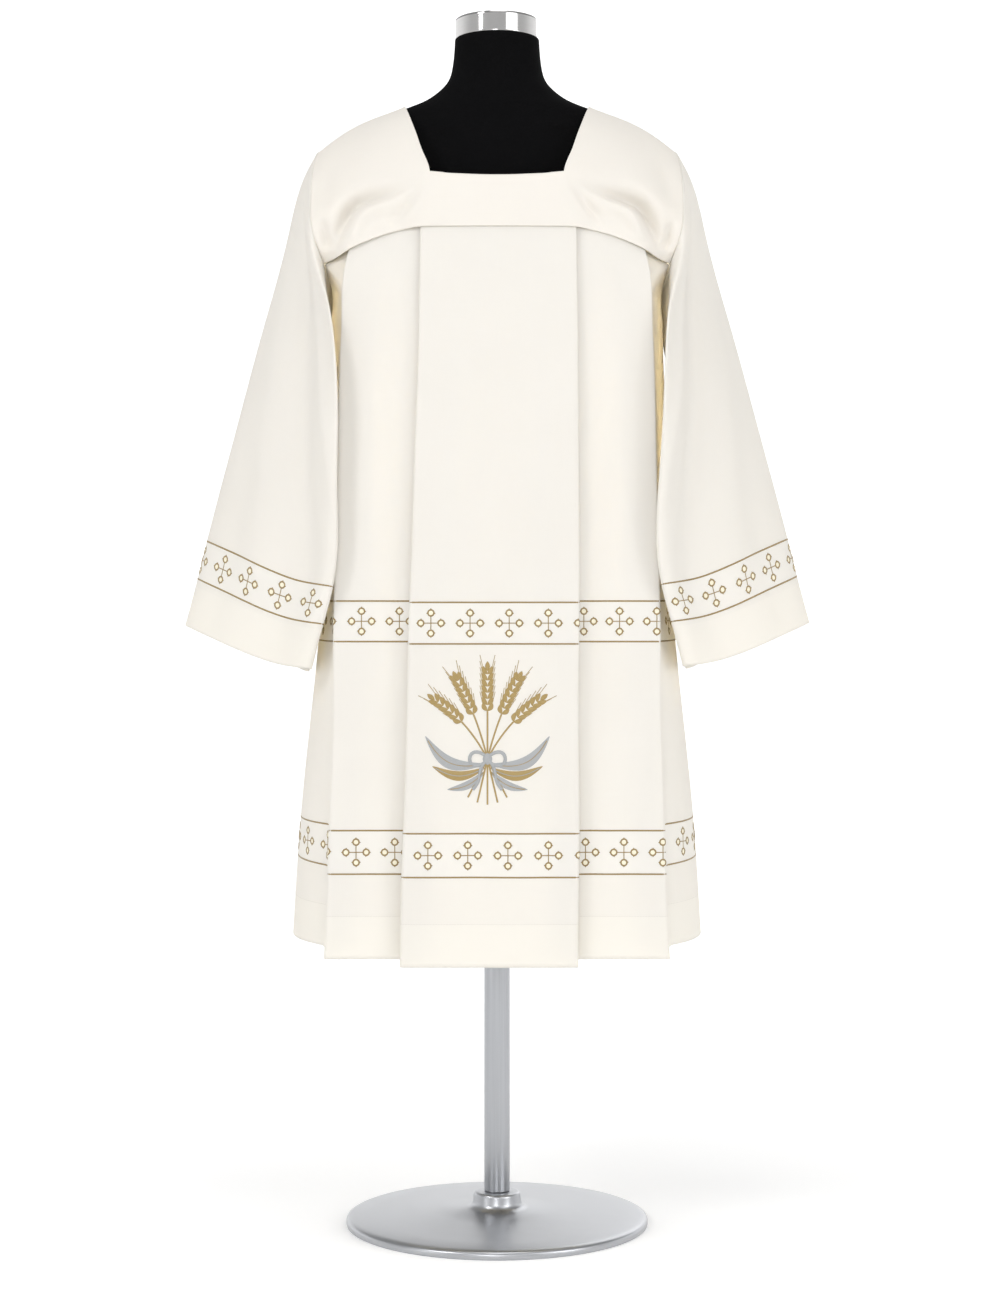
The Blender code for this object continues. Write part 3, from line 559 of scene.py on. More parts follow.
# Heights of the bands' lines, from the lowest up: how much higher than on the centre panel
# they are on the side panels, and on the side pieces at the pleat and at the seam. Then the
# columns, counted from the middle, where one height changes over to the next.
LINE_HEIGHTS = BAND_LINES[:, None] + np.array([
    (0, 0.0025, 0.0105, 0.0205), (0, 0.0025, 0.0080, 0.0150),
    (0, 0.0028, 0.0028, 0.0068), (0, 0.0018, 0.0018, 0.0058),
])
PANEL_TURNS = np.cumsum([CENTRE_COLUMNS + FOLD_COLUMNS, FOLD_COLUMNS, PANEL_COLUMNS + FOLD_COLUMNS,
                         FOLD_COLUMNS, CORNER_START - FRONT_COLUMNS, HALF_COLUMNS - CORNER_START]) - 1
PANEL_KINDS = (0, 1, 1, 2, 2, 3)


def panel_heights(along, reach, heights):
    """Height of a line at distances along the body from its middle: one height on the centre
    panel, one on the side panels, and a slope on the side pieces. reach is the distance of
    each column."""
    right = np.interp(along, reach[HALF_COLUMNS - 1 + PANEL_TURNS], PANEL_KINDS)
    left = np.interp(-along, -reach[HALF_COLUMNS - 1 - PANEL_TURNS], PANEL_KINDS)
    return np.interp(np.where(along > 0, right, left), range(len(heights)), heights)


def body_levels(grid):
    """The level of every point of the body: its height, moved so that each panel's four
    lines fall on those of the centre panel."""
    reach = lengths_along(grid)[-1]
    reach = reach - reach[HALF_COLUMNS - 1]
    lines = np.stack([panel_heights(reach, reach, heights) for heights in LINE_HEIGHTS])
    rise = LINE_HEIGHTS[:, :1] - lines
    return np.stack([column + np.interp(column, lines[:, number], rise[:, number])
                     for number, column in enumerate(grid[..., 2].T)], -1)


front_grid = body_grid()
back_grid = front_grid * (1, -1, 1)
surplice_front = cloth_piece("surplice_front", front_grid, body_levels(front_grid), "body_front", -1)
surplice_back = cloth_piece("surplice_back", back_grid, body_levels(back_grid), "body_back", 1)

# ------------------------------------------------------------------ the yoke
# Front and back: a smooth square-necked yoke, cut in one with both shoulders and turned
# under along the neckline. Its curved lower edge is sewn over the pleats; it is joined at
# the shoulders and set into both sleeves. Drag folds run from the neck to the underarms.
NECK_CORNER = np.array([0.080, 1.287])
NECK_TOP = np.array([0.1148, 1.391])
NECK_SAG = 0.0045
NECK_PROUD = 0.003
YOKE_DEPTH = 0.150
SHOULDER_LIFT = 0.0088
SHOULDER_LIFT_LEAN = 1.25
CHEST_START = np.radians(23.0)
LAP = CLOTH + 0.0010
YOKE_SPRING = 0.0022
YOKE_TURN_START = 0.006
YOKE_TURN = 11.0
YOKE_STEP = 0.02
SEAM_EASE = 1.5
LOW_ROWS, HIGH_ROWS = 4, 7             # rows below and above the corner of the neckline
BLOCK_COLUMNS, MIDDLE_COLUMNS = 9, 8   # columns of a shoulder, and between the two
YOKE_FINER = 12                        # fine rows or columns to each of those
SET_IN_GAP = 0.0003                    # from the armhole's line to the yoke's turned-in edge
# Drag folds of each half, on the right-hand side and its mirror: each bends through its
# places and is pressed in (depth above 0) or stands proud, with one width above its line
# and another below it.
YOKE_FOLDS = [
    # across and height of each place                                            above   below   depth
    ([(0.0960, 1.2760), (0.1260, 1.2625), (0.1500, 1.2560), (0.1680, 1.2490),
      (0.1800, 1.2330), (0.1900, 1.2110), (0.1960, 1.1960)], 0.0105, 0.0048, 0.0165),
    ([(0.1080, 1.2590), (0.1360, 1.2480), (0.1580, 1.2390), (0.1680, 1.2250),
      (0.1760, 1.2030)], 0.0056, 0.0110, -0.0076),
    ([(0.0860, 1.2800), (0.1010, 1.2560), (0.1190, 1.2340), (0.1300, 1.2240)], 0.0070, 0.0055, 0.0050),
    ([(0.2130, 1.2380), (0.2070, 1.2180), (0.2030, 1.1960)], 0.0060, 0.0060, 0.0075),
    ([(0.1340, 1.2920), (0.1700, 1.2780), (0.1980, 1.2520), (0.2120, 1.2280)], 0.0140, 0.0110, -0.0034),
    ([(0.1900, 1.3350), (0.2050, 1.2950), (0.2120, 1.2500)], 0.0130, 0.0130, 0.0036),
    ([(0.1450, 1.3720), (0.1720, 1.3400), (0.1900, 1.3050)], 0.0180, 0.0180, 0.0024),
]
FOLD_DEEPER = {-1: 1.0, 1: 1.25}       # the folds' depth on the left and on the right
FOLD_POINTS = 160                      # fine points along a fold
FOLD_FADE = 1.4                        # above 1, a fold fades in slowly and out fast


def smooth_step(value, start, width):
    """0 before start, 1 after start + width, and an S curve between."""
    share = np.clip((value - start) / width, 0, 1)
    return share * share * (3 - 2 * share)


def yoke_seam_points(across):
    """The yoke's lower edge, just in front of the pleats: it steps back with the side
    panels, springs clear of the outer pleats and then turns back to the arm."""
    _, depth, bow, _, inner, outer, _, _, turn = BODY_SECTIONS[0]
    far = np.abs(across)
    lean = bow * (across / outer) ** 2 - depth
    lean += 4 * turn * smooth_step(far, inner, YOKE_STEP)
    lean -= YOKE_SPRING * smooth_step(far, inner, outer - inner)
    lean += YOKE_TURN * np.maximum(far - outer - YOKE_TURN_START, 0) ** 1.5
    return np.stack([across, lean - LAP, seam_height(across)], -1)


def neck_side_points(share, side):
    """The neckline's side edge on the round of the chest: cosine in depth, sine in height."""
    angle = between(CHEST_START, np.pi / 2, share)
    height = SEAM_HEIGHT + (NECK_TOP[1] - SEAM_HEIGHT) * np.sin(angle)
    climb = (height - NECK_CORNER[1]) / (NECK_TOP[1] - NECK_CORNER[1])
    across = between(NECK_CORNER[0], NECK_TOP[0], climb)
    return np.stack([side * across, -YOKE_DEPTH * np.cos(angle), height], -1)


def shoulder_block(side):
    """One shoulder of the yoke: rows from the seam up to the shoulder line, columns from the
    neckline out to the armhole. Straight runs between those two edges, eased onto the curved
    seam below and lifted in a sine above."""
    ring = armhole_ring(side) - (side * SET_IN_GAP, 0, 0)
    place = np.arange(len(ring))
    low = np.linspace(0, 1, LOW_ROWS)[:, None]
    high = np.arange(1, HIGH_ROWS + 1)[:, None] / HIGH_ROWS
    seam_start = yoke_seam_points(np.array([side * NECK_CORNER[0]]))
    inner = np.vstack([between(seam_start, neck_side_points(np.zeros(1), side), low),
                       neck_side_points(high[:, 0], side)])
    at = np.concatenate([between(RING_HEEL, RING_NOTCH, low[:, 0]), RING_NOTCH * (1 - high[:, 0])])
    outer = np.stack([np.interp(at, place, ring[:, axis]) for axis in range(3)], -1)
    share = np.linspace(0, 1, BLOCK_COLUMNS)[None, :, None]
    grid = between(inner[:, None], outer[:, None], share)
    seam = yoke_seam_points(grid[0, :, 0])
    seam[-1] = outer[0]
    row = np.arange(LOW_ROWS + HIGH_ROWS)[:, None, None]
    grid += (seam - grid[0]) * np.maximum(1 - row / LOW_ROWS, 0) ** SEAM_EASE
    angle = between(CHEST_START, np.pi / 2, high[:, 0])
    raised = high * np.stack([0 * angle, -np.cos(angle), np.sin(angle)], -1)
    lift = SHOULDER_LIFT * np.sin(np.pi * share ** SHOULDER_LIFT_LEAN)
    grid[LOW_ROWS:] += lift * raised[:, None]
    return grid


def middle_block(left, right):
    """The yoke under the neckline: straight up from the seam to a slightly sagging edge."""
    share = np.arange(1, MIDDLE_COLUMNS + 1)[None, :, None] / (MIDDLE_COLUMNS + 1)
    grid = between(left[:LOW_ROWS, :1], right[:LOW_ROWS, :1], share)
    bulge = 4 * share * (1 - share)
    top = grid + bulge * (0, -NECK_PROUD, -NECK_SAG)
    rise = np.linspace(0, 1, LOW_ROWS)[:, None, None]
    return between(yoke_seam_points(grid[..., 0]), top, rise)


def refine(grid, times):
    """A grid with times as many rows: each column is read by a spline at the mean distances
    of the rows."""
    steps = np.linalg.norm(np.diff(grid, axis=0), axis=2).mean(axis=1)
    places = np.concatenate([[0], np.cumsum(steps)])
    rows = np.arange(len(grid))
    at = np.interp(np.linspace(0, rows[-1], rows[-1] * times + 1), rows, places)
    return spline_read(places, grid.reshape(len(grid), -1), at).reshape(len(at), *grid.shape[1:])


def across_first(grid):
    """The same grid with its rows and columns exchanged."""
    return grid.transpose(1, 0, 2)


def unit(vectors):
    """Vectors divided by their lengths."""
    return vectors / np.maximum(np.linalg.norm(vectors, axis=-1, keepdims=True), 1e-12)


def cross_normals(grid, closed=False):
    """Unit normals of a grid: its difference along a row crossed with that down a column."""
    if closed:
        along = np.roll(grid, -1, axis=1) - np.roll(grid, 1, axis=1)
    else:
        along = np.gradient(grid, axis=1)
    return unit(np.cross(along, np.gradient(grid, axis=0)))


def yoke_parts():
    """The yoke as one low strip right across and two shoulders above it, finely divided."""
    left = shoulder_block(-1)
    right = shoulder_block(1)
    middle = middle_block(left, right)
    fine_left = refine(left, YOKE_FINER)
    fine_right = refine(right, YOKE_FINER)
    low = (LOW_ROWS - 1) * YOKE_FINER + 1
    strip = np.hstack([fine_left[:low, ::-1], refine(middle, YOKE_FINER), fine_right[:low]])
    strip = across_first(refine(across_first(strip), YOKE_FINER))
    # Between the neckline's corners the fine rows may pass its edge, and are brought down.
    within = np.clip(1 - (strip[-1, :, 0] / NECK_CORNER[0]) ** 2, 0, None)
    excess = np.where(within > 0, np.maximum(strip[-1, :, 2] - NECK_CORNER[1] + NECK_SAG * within, 0), 0)
    strip[..., 2] -= excess * np.linspace(0, 1, low)[:, None] ** 2
    shoulders = [across_first(refine(across_first(part[low - 1:]), YOKE_FINER))
                 for part in (fine_left[:, ::-1], fine_right)]
    edge = (BLOCK_COLUMNS - 1) * YOKE_FINER + 1
    fade = np.clip(np.arange(len(shoulders[0])) / YOKE_FINER / 2, 0, 1)[:, None, None]
    for shoulder, border in zip(shoulders, (strip[-1, :edge], strip[-1, -edge:])):
        shoulder += (border - shoulder[0]) * (1 - fade) ** 2
    return [strip, *shoulders]


def press_bent(places, folds):
    """Depth of bent folds at (across, height) places: a bell across a spline through each
    fold's places, its width set by the side of the line, faded along it by the sine of a
    power of the way run."""
    total = np.zeros(places.shape[:-1])
    for path, above, below, depth in folds:
        knots = lengths_along(np.array([path]))[0]
        line = spline_read(knots, np.array(path), np.linspace(0, knots[-1], FOLD_POINTS))
        offset = places[..., None, :] - line
        nearest = np.linalg.norm(offset, axis=-1).argmin(axis=-1)
        offset = np.take_along_axis(offset, nearest[..., None, None], axis=-2)[..., 0, :]
        way = np.gradient(line, axis=0)[nearest]
        over = way[..., 0] * offset[..., 1] - way[..., 1] * offset[..., 0] > 0
        away = np.linalg.norm(offset, axis=-1) / np.where(over, above, below)
        run = nearest / (FOLD_POINTS - 1)
        total += depth * np.exp(-away ** 2) * np.sin(np.pi * run ** FOLD_FADE)
    return total


def yoke_mesh(facing):
    """Points, quads and cloth coordinates of one half of the yoke."""
    points, quads, coordinates = [], [], []
    first = 0
    for part in yoke_parts():
        places = np.stack([np.abs(part[..., 0]), part[..., 2]], -1)
        deeper = np.where(part[..., 0] < 0, FOLD_DEEPER[-1], FOLD_DEEPER[1])
        part[..., 1] += press_bent(places, YOKE_FOLDS) * deeper
        part[..., 1] = np.minimum(part[..., 1], -EDGE_GAP / 2)
        coordinates.append(part[..., [0, 2]].reshape(-1, 2))
        part[..., 1] *= -facing
        points.append(part.reshape(-1, 3))
        quads.append(grid_quads(*part.shape[:2]) + first)
        first += points[-1].shape[0]
    return np.vstack(points), np.vstack(quads), np.vstack(coordinates)


def yoke_piece(name, facing, node_name):
    """One half of the yoke: its strip and shoulders merged, then given a thin wall."""
    points, quads, coordinates = yoke_mesh(facing)
    piece = make_piece(name, points, quads[:, ::-facing], yoke_ivory)
    lay_cloth(piece, coordinates)
    tidy_mesh(piece, 1e-5)
    add_wall(piece)
    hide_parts(node_name)
    return piece


yoke_front = yoke_piece("surplice_yoke_front", -1, "yoke_front")
yoke_back = yoke_piece("surplice_yoke_back", 1, "yoke_back")

# ------------------------------------------------------------------ the sleeves
# Left and right: each is one tube of cloth, set flat into the armhole, rolling out over the
# shoulder and widening to a bell cuff with a deep hem. Its weight draws soft upright folds.
SLEEVE_SECTIONS = np.array([
    # outer silhouette             front edge                  underarm line              rear edge
    [(0.2588, -0.006, 1.2380), (0.2000, -0.1430, 1.1250), (0.2100, -0.012, 1.0780), (0.2350, 0.103, 1.1350)],
    [(0.2897, -0.018, 1.1137), (0.1890, -0.1670, 1.0100), (0.2145, -0.020, 0.9850), (0.2540, 0.095, 1.0350)],
    [(0.3212, -0.031, 0.9878), (0.1895, -0.1730, 0.9050), (0.2190, -0.026, 0.8920), (0.2730, 0.084, 0.9320)],
    [(0.3557, -0.043, 0.8492), (0.1948, -0.1710, 0.7910), (0.2240, -0.030, 0.7830), (0.2930, 0.072, 0.8180)],
    [(0.3667, -0.046, 0.8030), (0.2070, -0.1620, 0.7470), (0.2290, -0.030, 0.7420), (0.3000, 0.068, 0.7750)],
    [(0.3817, -0.048, 0.7452), (0.2218, -0.1480, 0.6938), (0.2370, -0.033, 0.6900), (0.3090, 0.062, 0.7170)],
])
FRONT_POINTS = [(0.34, 0.0170, 0.6), (0.70, 0.0136, 1.0)]
REAR_POINTS = [(0.33, 0.0240), (0.67, 0.0240)]
FRONT_SAG = 0.009
INNER_BELLY = 0.010
EDGE_WIDTH = 0.24
EDGE_PROUD = 0.002
SEAM_SHARE = (0.33, 0.67)
SHOULDER_ROLL = np.array([0.007, 0.0, 0.014])
ROLL_RISE = 0.045               # the roll grows over this height from the underarm
SIDE_LEAN = {-1: 0.0005, 1: 0.0015}
SLEEVE_LIFT = {-1: 0.0, 1: 2.3}         # how much higher than wider the lean sets a cuff
# How much further out the front edge of each section hangs, on the left and on the right.
EDGE_OUT = {-1: (0, 0, 0, 0, 0, 0), 1: (0.0055, 0.0090, 0.0015, 0, 0, 0)}
SLEEVE_FINER = 15
SLEEVE_ROUND = 0.60             # rough distance round a sleeve, for placing its creases
SET_IN_DEPTH = 0.005            # of the sleeve's turned-in edge, under the yoke
SET_IN_AIM = np.array([0.1200, 0.0, 1.2400])    # where that edge points, inside the shoulder
# Creases of a sleeve: distance round from the outer silhouette, by the front, and down
# from the armhole.
SLEEVE_CREASES = [
    # round and down of each end    width   depth
    (0.075, 0.030, 0.150, 0.440, 0.0170, 0.0075),
    (0.115, 0.060, 0.185, 0.330, 0.0140, -0.0036),
    (0.036, 0.100, 0.090, 0.500, 0.0200, -0.0036),
    (0.135, 0.330, 0.120, 0.630, 0.0210, 0.0036),
    (0.060, 0.360, 0.045, 0.630, 0.0220, 0.0032),
    (0.175, 0.280, 0.165, 0.600, 0.0140, -0.0022),
    (0.460, 0.100, 0.440, 0.480, 0.0180, 0.0060),
    (0.510, 0.060, 0.530, 0.400, 0.0160, -0.0034),
    (0.400, 0.240, 0.395, 0.620, 0.0160, 0.0040),
    (0.550, 0.300, 0.560, 0.630, 0.0200, 0.0032),
    (0.330, 0.200, 0.340, 0.600, 0.0140, -0.0024),
]


def proud_point(start, end, centre, share, amount):
    """A point between start and end, moved straight away from the section's centre."""
    point = between(start, end, share)
    return point + unit(point - centre) * amount


def hanging_corners(section, side, edge_out):
    """The corners of one hanging section, in ring order."""
    outer, edge, under, rear = section + np.outer((0, edge_out, 0, 0), (1, 0, 0))
    centre = section.mean(axis=0)
    front = [proud_point(outer, edge, centre, share, proud) - (0, 0, FRONT_SAG * sag)
             for share, proud, sag in FRONT_POINTS]
    back = [proud_point(rear, outer, centre, share, proud) for share, proud in REAR_POINTS]
    corners = [outer, *front, edge, proud_point(edge, under, centre, EDGE_WIDTH, EDGE_PROUD),
               under, proud_point(under, rear, centre, 0.5, INNER_BELLY), rear, *back]
    sway = SIDE_LEAN[side] * (SEAM_HEIGHT - outer[2]) / (SEAM_HEIGHT - SLEEVE_SECTIONS[-1, 0, 2])
    return np.array(corners) + (sway, 0, sway * SLEEVE_LIFT[side])


def sleeve_grid(side):
    """Points of a sleeve, ring by ring from its turned-in edge and the armhole to the cuff,
    with its creases pressed in along its normals."""
    armhole = armhole_ring(1) + (SEAM / 2, 0, 0)
    samples = np.array(RING_SAMPLES) * RING_FINER
    hanging = [ring_through(hanging_corners(section, side, edge_out), samples)
               for section, edge_out in zip(SLEEVE_SECTIONS, EDGE_OUT[side])]
    risen = smooth_step(armhole[:, 2:], ARMHOLE[4, 2], ROLL_RISE)
    roll = between(armhole, hanging[0], 0.5) + SHOULDER_ROLL * risen
    rings = [armhole]
    rings += [between(between(armhole, roll, share), between(roll, hanging[0], share), share)
              for share in SEAM_SHARE]
    grid = refine(np.array(rings + hanging), SLEEVE_FINER)
    rows, columns = grid.shape[:2]
    down = lengths_along(across_first(grid)).T
    around = np.linspace(0, SLEEVE_ROUND, columns, endpoint=False)
    places = np.stack([around + 0 * down, down], -1)
    depth = press(places, SLEEVE_CREASES)
    normals = cross_normals(grid, closed=True)
    grid -= normals * depth[..., None]
    turned_in = SET_IN_DEPTH * unit(SET_IN_AIM - armhole)
    return np.concatenate([[armhole + turned_in, armhole + turned_in / 3], grid]) * (side, 1, 1)


SLEEVE_ROWS = np.array([6, 7, 8]) * SLEEVE_FINER + 2    # rows of the band's two lines and the cuff
# Levels at the armhole, at the band's two lines and at the cuff.
SLEEVE_LEVELS = LINE_HEIGHTS[[3, 3, 2, 2], 0] + (0.5, 0, 0, -0.06)
sleeve_grids = {side: sleeve_grid(side) for side in (-1, 1)}
for side, word in ((-1, "left"), (1, "right")):
    rows, columns = sleeve_grids[side].shape[:2]
    levels = np.interp(np.arange(rows), [0, *SLEEVE_ROWS], SLEEVE_LEVELS)
    cloth_piece("surplice_sleeve_" + word, sleeve_grids[side],
                                np.repeat(levels, columns), "sleeve_" + word, side, closed=True)

# ------------------------------------------------------------------ bands of little crosses
# Machine embroidery on the cloth, round both bands of the body and round each cuff: two
# border lines in old-gold thread, and between them a row of small crosses whose arms end in
# pointed loops filled with pale yellow.
THREAD_SUNK = 0.0001            # how far the stitches' edges lie in the cloth
SPREAD = np.array([-1, -0.6, 0, 0.6, 1])        # places across a line of stitches, in half widths
DOME = np.sqrt(1 - SPREAD ** 2)                 # a half ellipse over them
LEAF_ENDS = (0.02, 0.98)        # shares of a leaf's length where its stitches start and end
LEAF_SWELL = 0.75               # below 1, a leaf stays wide towards its ends
DISC_RINGS = (1.0, 0.65, 0.02)  # of the radius of a filled round
LINE_WIDTH = 0.0021
LINE_RAISED = 0.0005
LINE_STEP = 0.003
LINE_INSET = 0.001              # from the side seam to the end of a border line
LOOP_PLACE = 0.0120             # from the middle of a cross to the middle of a loop
LOOP_RADIUS = 0.0036            # of the middle of the loop's line
LOOP_WIDTH = 0.0019
LOOP_RAISED = 0.0007
LOOP_POINTS = 20
THORN_PLACES = np.radians((0, 95, -95))     # round the loop, from straight outwards
THORN_REACH = (0.0036, 0.0056)              # distances from the loop's middle
THORN_WIDTH = 0.0014
PALE_RADIUS = 0.0029
PALE_RAISED = 0.0005
ARM_WIDTH = 0.0012
ARM_RAISED = 0.0005
CLOTH_STEP = 0.0012             # how finely the embroidered cloth is read


def even_cloth(grid, outward, closed=False):
    """A cloth grid read again at even distances along each row, with its outward normals. The
    distances start at the middle of an open row, or at the first column of a closed one."""
    normals = outward * cross_normals(grid, closed)
    if closed:
        grid = np.concatenate([grid, grid[:, :1]], axis=1)
        normals = np.concatenate([normals, normals[:, :1]], axis=1)
    reach = lengths_along(grid)
    if not closed:
        reach = reach - reach[:, grid.shape[1] // 2, None]
    at = np.arange(reach.min(), reach.max(), CLOTH_STEP)
    both = np.concatenate([grid, normals], axis=2)
    read = np.stack([[np.interp(at, reach[row], both[row, :, part]) for part in range(6)]
                     for row in range(len(grid))]).transpose(0, 2, 1)
    return {"points": read[..., :3], "normals": read[..., 3:], "start": at[0], "reach": reach,
            "round": reach[:, -1]}


def on_cloth(cloth, along, row, lift):
    """Places on the cloth at distances along its rows: the blend of the four grid points
    around each, lifted along the blended normal."""
    rows, columns = cloth["points"].shape[:2]
    column = np.clip((along - cloth["start"]) / CLOTH_STEP, 0, columns - 1.001)
    row = np.clip(row, 0, rows - 1.001)
    low, left = row.astype(int), column.astype(int)
    down, right = (row - low)[..., None], (column - left)[..., None]

    def blended(table):
        upper = between(table[low, left], table[low, left + 1], right)
        lower = between(table[low + 1, left], table[low + 1, left + 1], right)
        return between(upper, lower, down)

    return blended(cloth["points"]) + unit(blended(cloth["normals"])) * lift[..., None]


def satin_line(path, width, raised, closed=False):
    """A line of satin stitches along a path on flat cloth: five points across it, lifted in
    a half ellipse. It gives flat places, lifts, stitch coordinates and quads."""
    if closed:
        run = np.roll(path, -1, axis=0) - np.roll(path, 1, axis=0)
    else:
        run = np.gradient(path, axis=0)
    run = unit(run)
    side = np.stack([-run[:, 1], run[:, 0]], -1)
    off = SPREAD * width / 2
    flat = path[:, None] + side[:, None] * off[None, :, None]
    lift = raised * DOME - THREAD_SUNK + 0 * flat[..., 0]
    far = lengths_along(path[None])[0][:, None] + 0 * off
    stitch = np.stack([far, off + 0 * far], -1)
    quads = grid_quads(len(path) + closed, len(SPREAD)) % lift.size
    return flat.reshape(-1, 2), lift.ravel(), stitch.reshape(-1, 2), quads


def satin_leaf(start, end, width, raised, rows=7, lean=0.0):
    """A leaf of satin stitches from start to end: its width swells as a power of the sine of
    the way along it, it is lifted in a half ellipse, and lean bows it sideways in a sine."""
    share = np.linspace(*LEAF_ENDS, rows)[:, None]
    run = np.array(end) - start
    side = unit(np.array([-run[1], run[0]]))
    swell = np.sin(np.pi * share) ** LEAF_SWELL
    off = SPREAD * swell * width / 2 + lean * np.sin(np.pi * share)
    flat = np.array(start) + share[..., None] * run + off[..., None] * side
    lift = raised * DOME * swell - THREAD_SUNK
    stitch = np.stack([share * np.linalg.norm(run) + 0 * off, off], -1)
    return flat.reshape(-1, 2), lift.ravel(), stitch.reshape(-1, 2), grid_quads(rows, len(SPREAD))


def satin_disc(radius, raised, points=14):
    """A filled round of stitches: rings about the middle, lifted in a half circle."""
    angle = np.linspace(0, 2 * np.pi, points, endpoint=False)
    share = np.array(DISC_RINGS)[:, None]
    flat = radius * np.stack([share * np.cos(angle), share * np.sin(angle)], -1)
    lift = raised * np.sqrt(1 - share ** 2) - THREAD_SUNK + 0 * angle
    quads = grid_quads(len(DISC_RINGS), points, closed=True)[:, ::-1]
    return flat.reshape(-1, 2), lift.ravel(), flat.reshape(-1, 2), quads


def turned_flat(shape, quarter_turns, offset):
    """A flat stitched shape turned by quarter turns and moved."""
    angle = quarter_turns * np.pi / 2
    turn = np.array([[np.cos(angle), np.sin(angle)], [-np.sin(angle), np.cos(angle)]])
    return shape[0] @ turn + offset, shape[1], shape[2], shape[3]


def together(shapes):
    """Several stitched shapes as one."""
    first = np.cumsum([0] + [len(shape[0]) for shape in shapes[:-1]])
    return tuple(np.concatenate([shape[part] for shape in shapes]) for part in range(3)) + (
        np.concatenate([shape[3] + start for shape, start in zip(shapes, first)]),)


angle = np.linspace(0, 2 * np.pi, LOOP_POINTS, endpoint=False)
ring = satin_line(LOOP_RADIUS * np.stack([np.cos(angle), np.sin(angle)], -1), LOOP_WIDTH, LOOP_RAISED,
                  closed=True)
thorns = []
for angle in THORN_PLACES:
    way = np.array([np.cos(angle), np.sin(angle)])
    thorns.append(satin_leaf(THORN_REACH[0] * way, THORN_REACH[1] * way, THORN_WIDTH, LOOP_RAISED, rows=5))
loop = together([ring, *thorns])
arm = satin_line(np.linspace((0.0, 0.0), (LOOP_PLACE - LOOP_RADIUS, 0.0), 4), ARM_WIDTH, ARM_RAISED)
pale = satin_disc(PALE_RADIUS, PALE_RAISED)
ENDS = [(turns, LOOP_PLACE * np.array([(1, 0), (0, 1), (-1, 0), (0, -1)][turns])) for turns in range(4)]
cross_gold = together([turned_flat(loop, turns, place) for turns, place in ENDS]
                      + [turned_flat(arm, turns, 0 * place) for turns, place in ENDS])
cross_pale = together([turned_flat(pale, turns, place) for turns, place in ENDS])


def thread_finish(name, low, high, roughness, period):
    """Rayon thread: glossy, with slanting stitches that follow the UV map named stitches; its colour holds
    painted shade, darker in the grooves between stitches and lighter on their crests.
    """
    material, tree, shader = make_finish(name, Sheen_Weight=0.15, Sheen_Roughness=0.4,
                                         Specular_IOR_Level=0.6)
    stitches = add_node(tree, "ShaderNodeUVMap", uv_map="stitches").outputs[0]
    slant = add_node(tree, "ShaderNodeMapping", {0: stitches, "Rotation": (0, 0, 0.35)}).outputs[0]
    wave = add_node(tree, "ShaderNodeTexWave", {"Vector": slant, "Scale": WAVE_PERIOD / period,
                                                "Distortion": 0.8, "Detail": 1.0}).outputs[1]
    # Painted shade: the colour runs from low in the grooves between stitches to high on their crests.
    paint(tree, shader, wave, low, high)
    grey_span(tree, wave, roughness + 0.12, roughness, shader.inputs["Roughness"])
    add_relief(tree, shader, wave, 0.6, 0.0002)
    return material


# Each thread's first colour is its painted shade in the grooves between stitches, the second its colour on
# their crests.
gold = thread_finish("gold_thread", (0.235, 0.160, 0.048), (0.500, 0.350, 0.118), 0.38, 0.00075)
old_gold = thread_finish("old_gold_thread", (0.185, 0.125, 0.036), (0.400, 0.275, 0.090), 0.40, 0.00055)
pale_yellow = thread_finish("pale_thread", (0.88, 0.81, 0.60), (0.97, 0.92, 0.76), 0.42, 0.00055)
silver = thread_finish("silver_thread", (0.27, 0.28, 0.29), (0.47, 0.48, 0.49), 0.36, 0.00075)


def sewn(name, places, shape, material, outward):
    """A piece of embroidery from a stitched shape and its finished places on the cloth."""
    piece = make_piece(name, places, shape[3][:, ::outward], material)
    lay_map(piece, "stitches", shape[2])
    return piece


def repeated(shape, along, up):
    """A stitched shape at each of several places along and up the cloth."""
    return together([(shape[0] + (a, b), *shape[1:]) for a, b in zip(along, up)])


# Bands of the body, the upper one first: which two of the lines they lie between, and the
# middles of the crosses across the front, panel by panel. A cross may lie past a fold.
BODY_BANDS = [
    {"lines": (3, 2), "centre": (-0.0778, -0.0316, 0.0146, 0.0607, 0.1075),
     "left": (-0.1155, -0.1602, -0.2072), "right": (0.1030, 0.1453, 0.1895)},
    {"lines": (1, 0), "centre": (-0.0809, -0.0342, 0.0130, 0.0606, 0.1085),
     "left": (-0.1205, -0.1661, -0.2125), "right": (0.1045, 0.1498, 0.1957)},
]
SIDE_PITCH = 0.0480            # of the crosses on the side pieces
SIDE_FIRST = {-1: 0.0085, 1: 0.0480}      # the first one's place past the outer pleat's corner


def laid_on_body(cloth, shape, offset=(0, 0)):
    """Places of a stitched shape, moved by an offset, on the outer face of the body with its
    second axis upright: the row is corrected three times by the height still missing, over
    the height of one row."""
    along, height = (shape[0] + offset).T
    rows = len(cloth["points"])
    row = rows * (SEAM_HEIGHT - height) / (SEAM_HEIGHT - HEM_HEIGHTS[0])
    drop = (SEAM_HEIGHT - HEM_HEIGHTS[1]) / rows
    for _ in range(3):
        row = row + (on_cloth(cloth, along, row, 0 * along)[..., 2] - height) / drop
    return on_cloth(cloth, along, row, shape[1] + CLOTH / 2)


def body_level(cloth, along, heights):
    """Height of a band's line, or of the hem, at distances along the body."""
    return panel_heights(along, cloth["reach"][body_row(heights[0])], heights)


def body_row(height):
    """The fine row of the body at a height on its centre panel."""
    return int((SEAM_HEIGHT - height) / (SEAM_HEIGHT - HEM_HEIGHTS[0]) * (BODY_ROWS - 1))


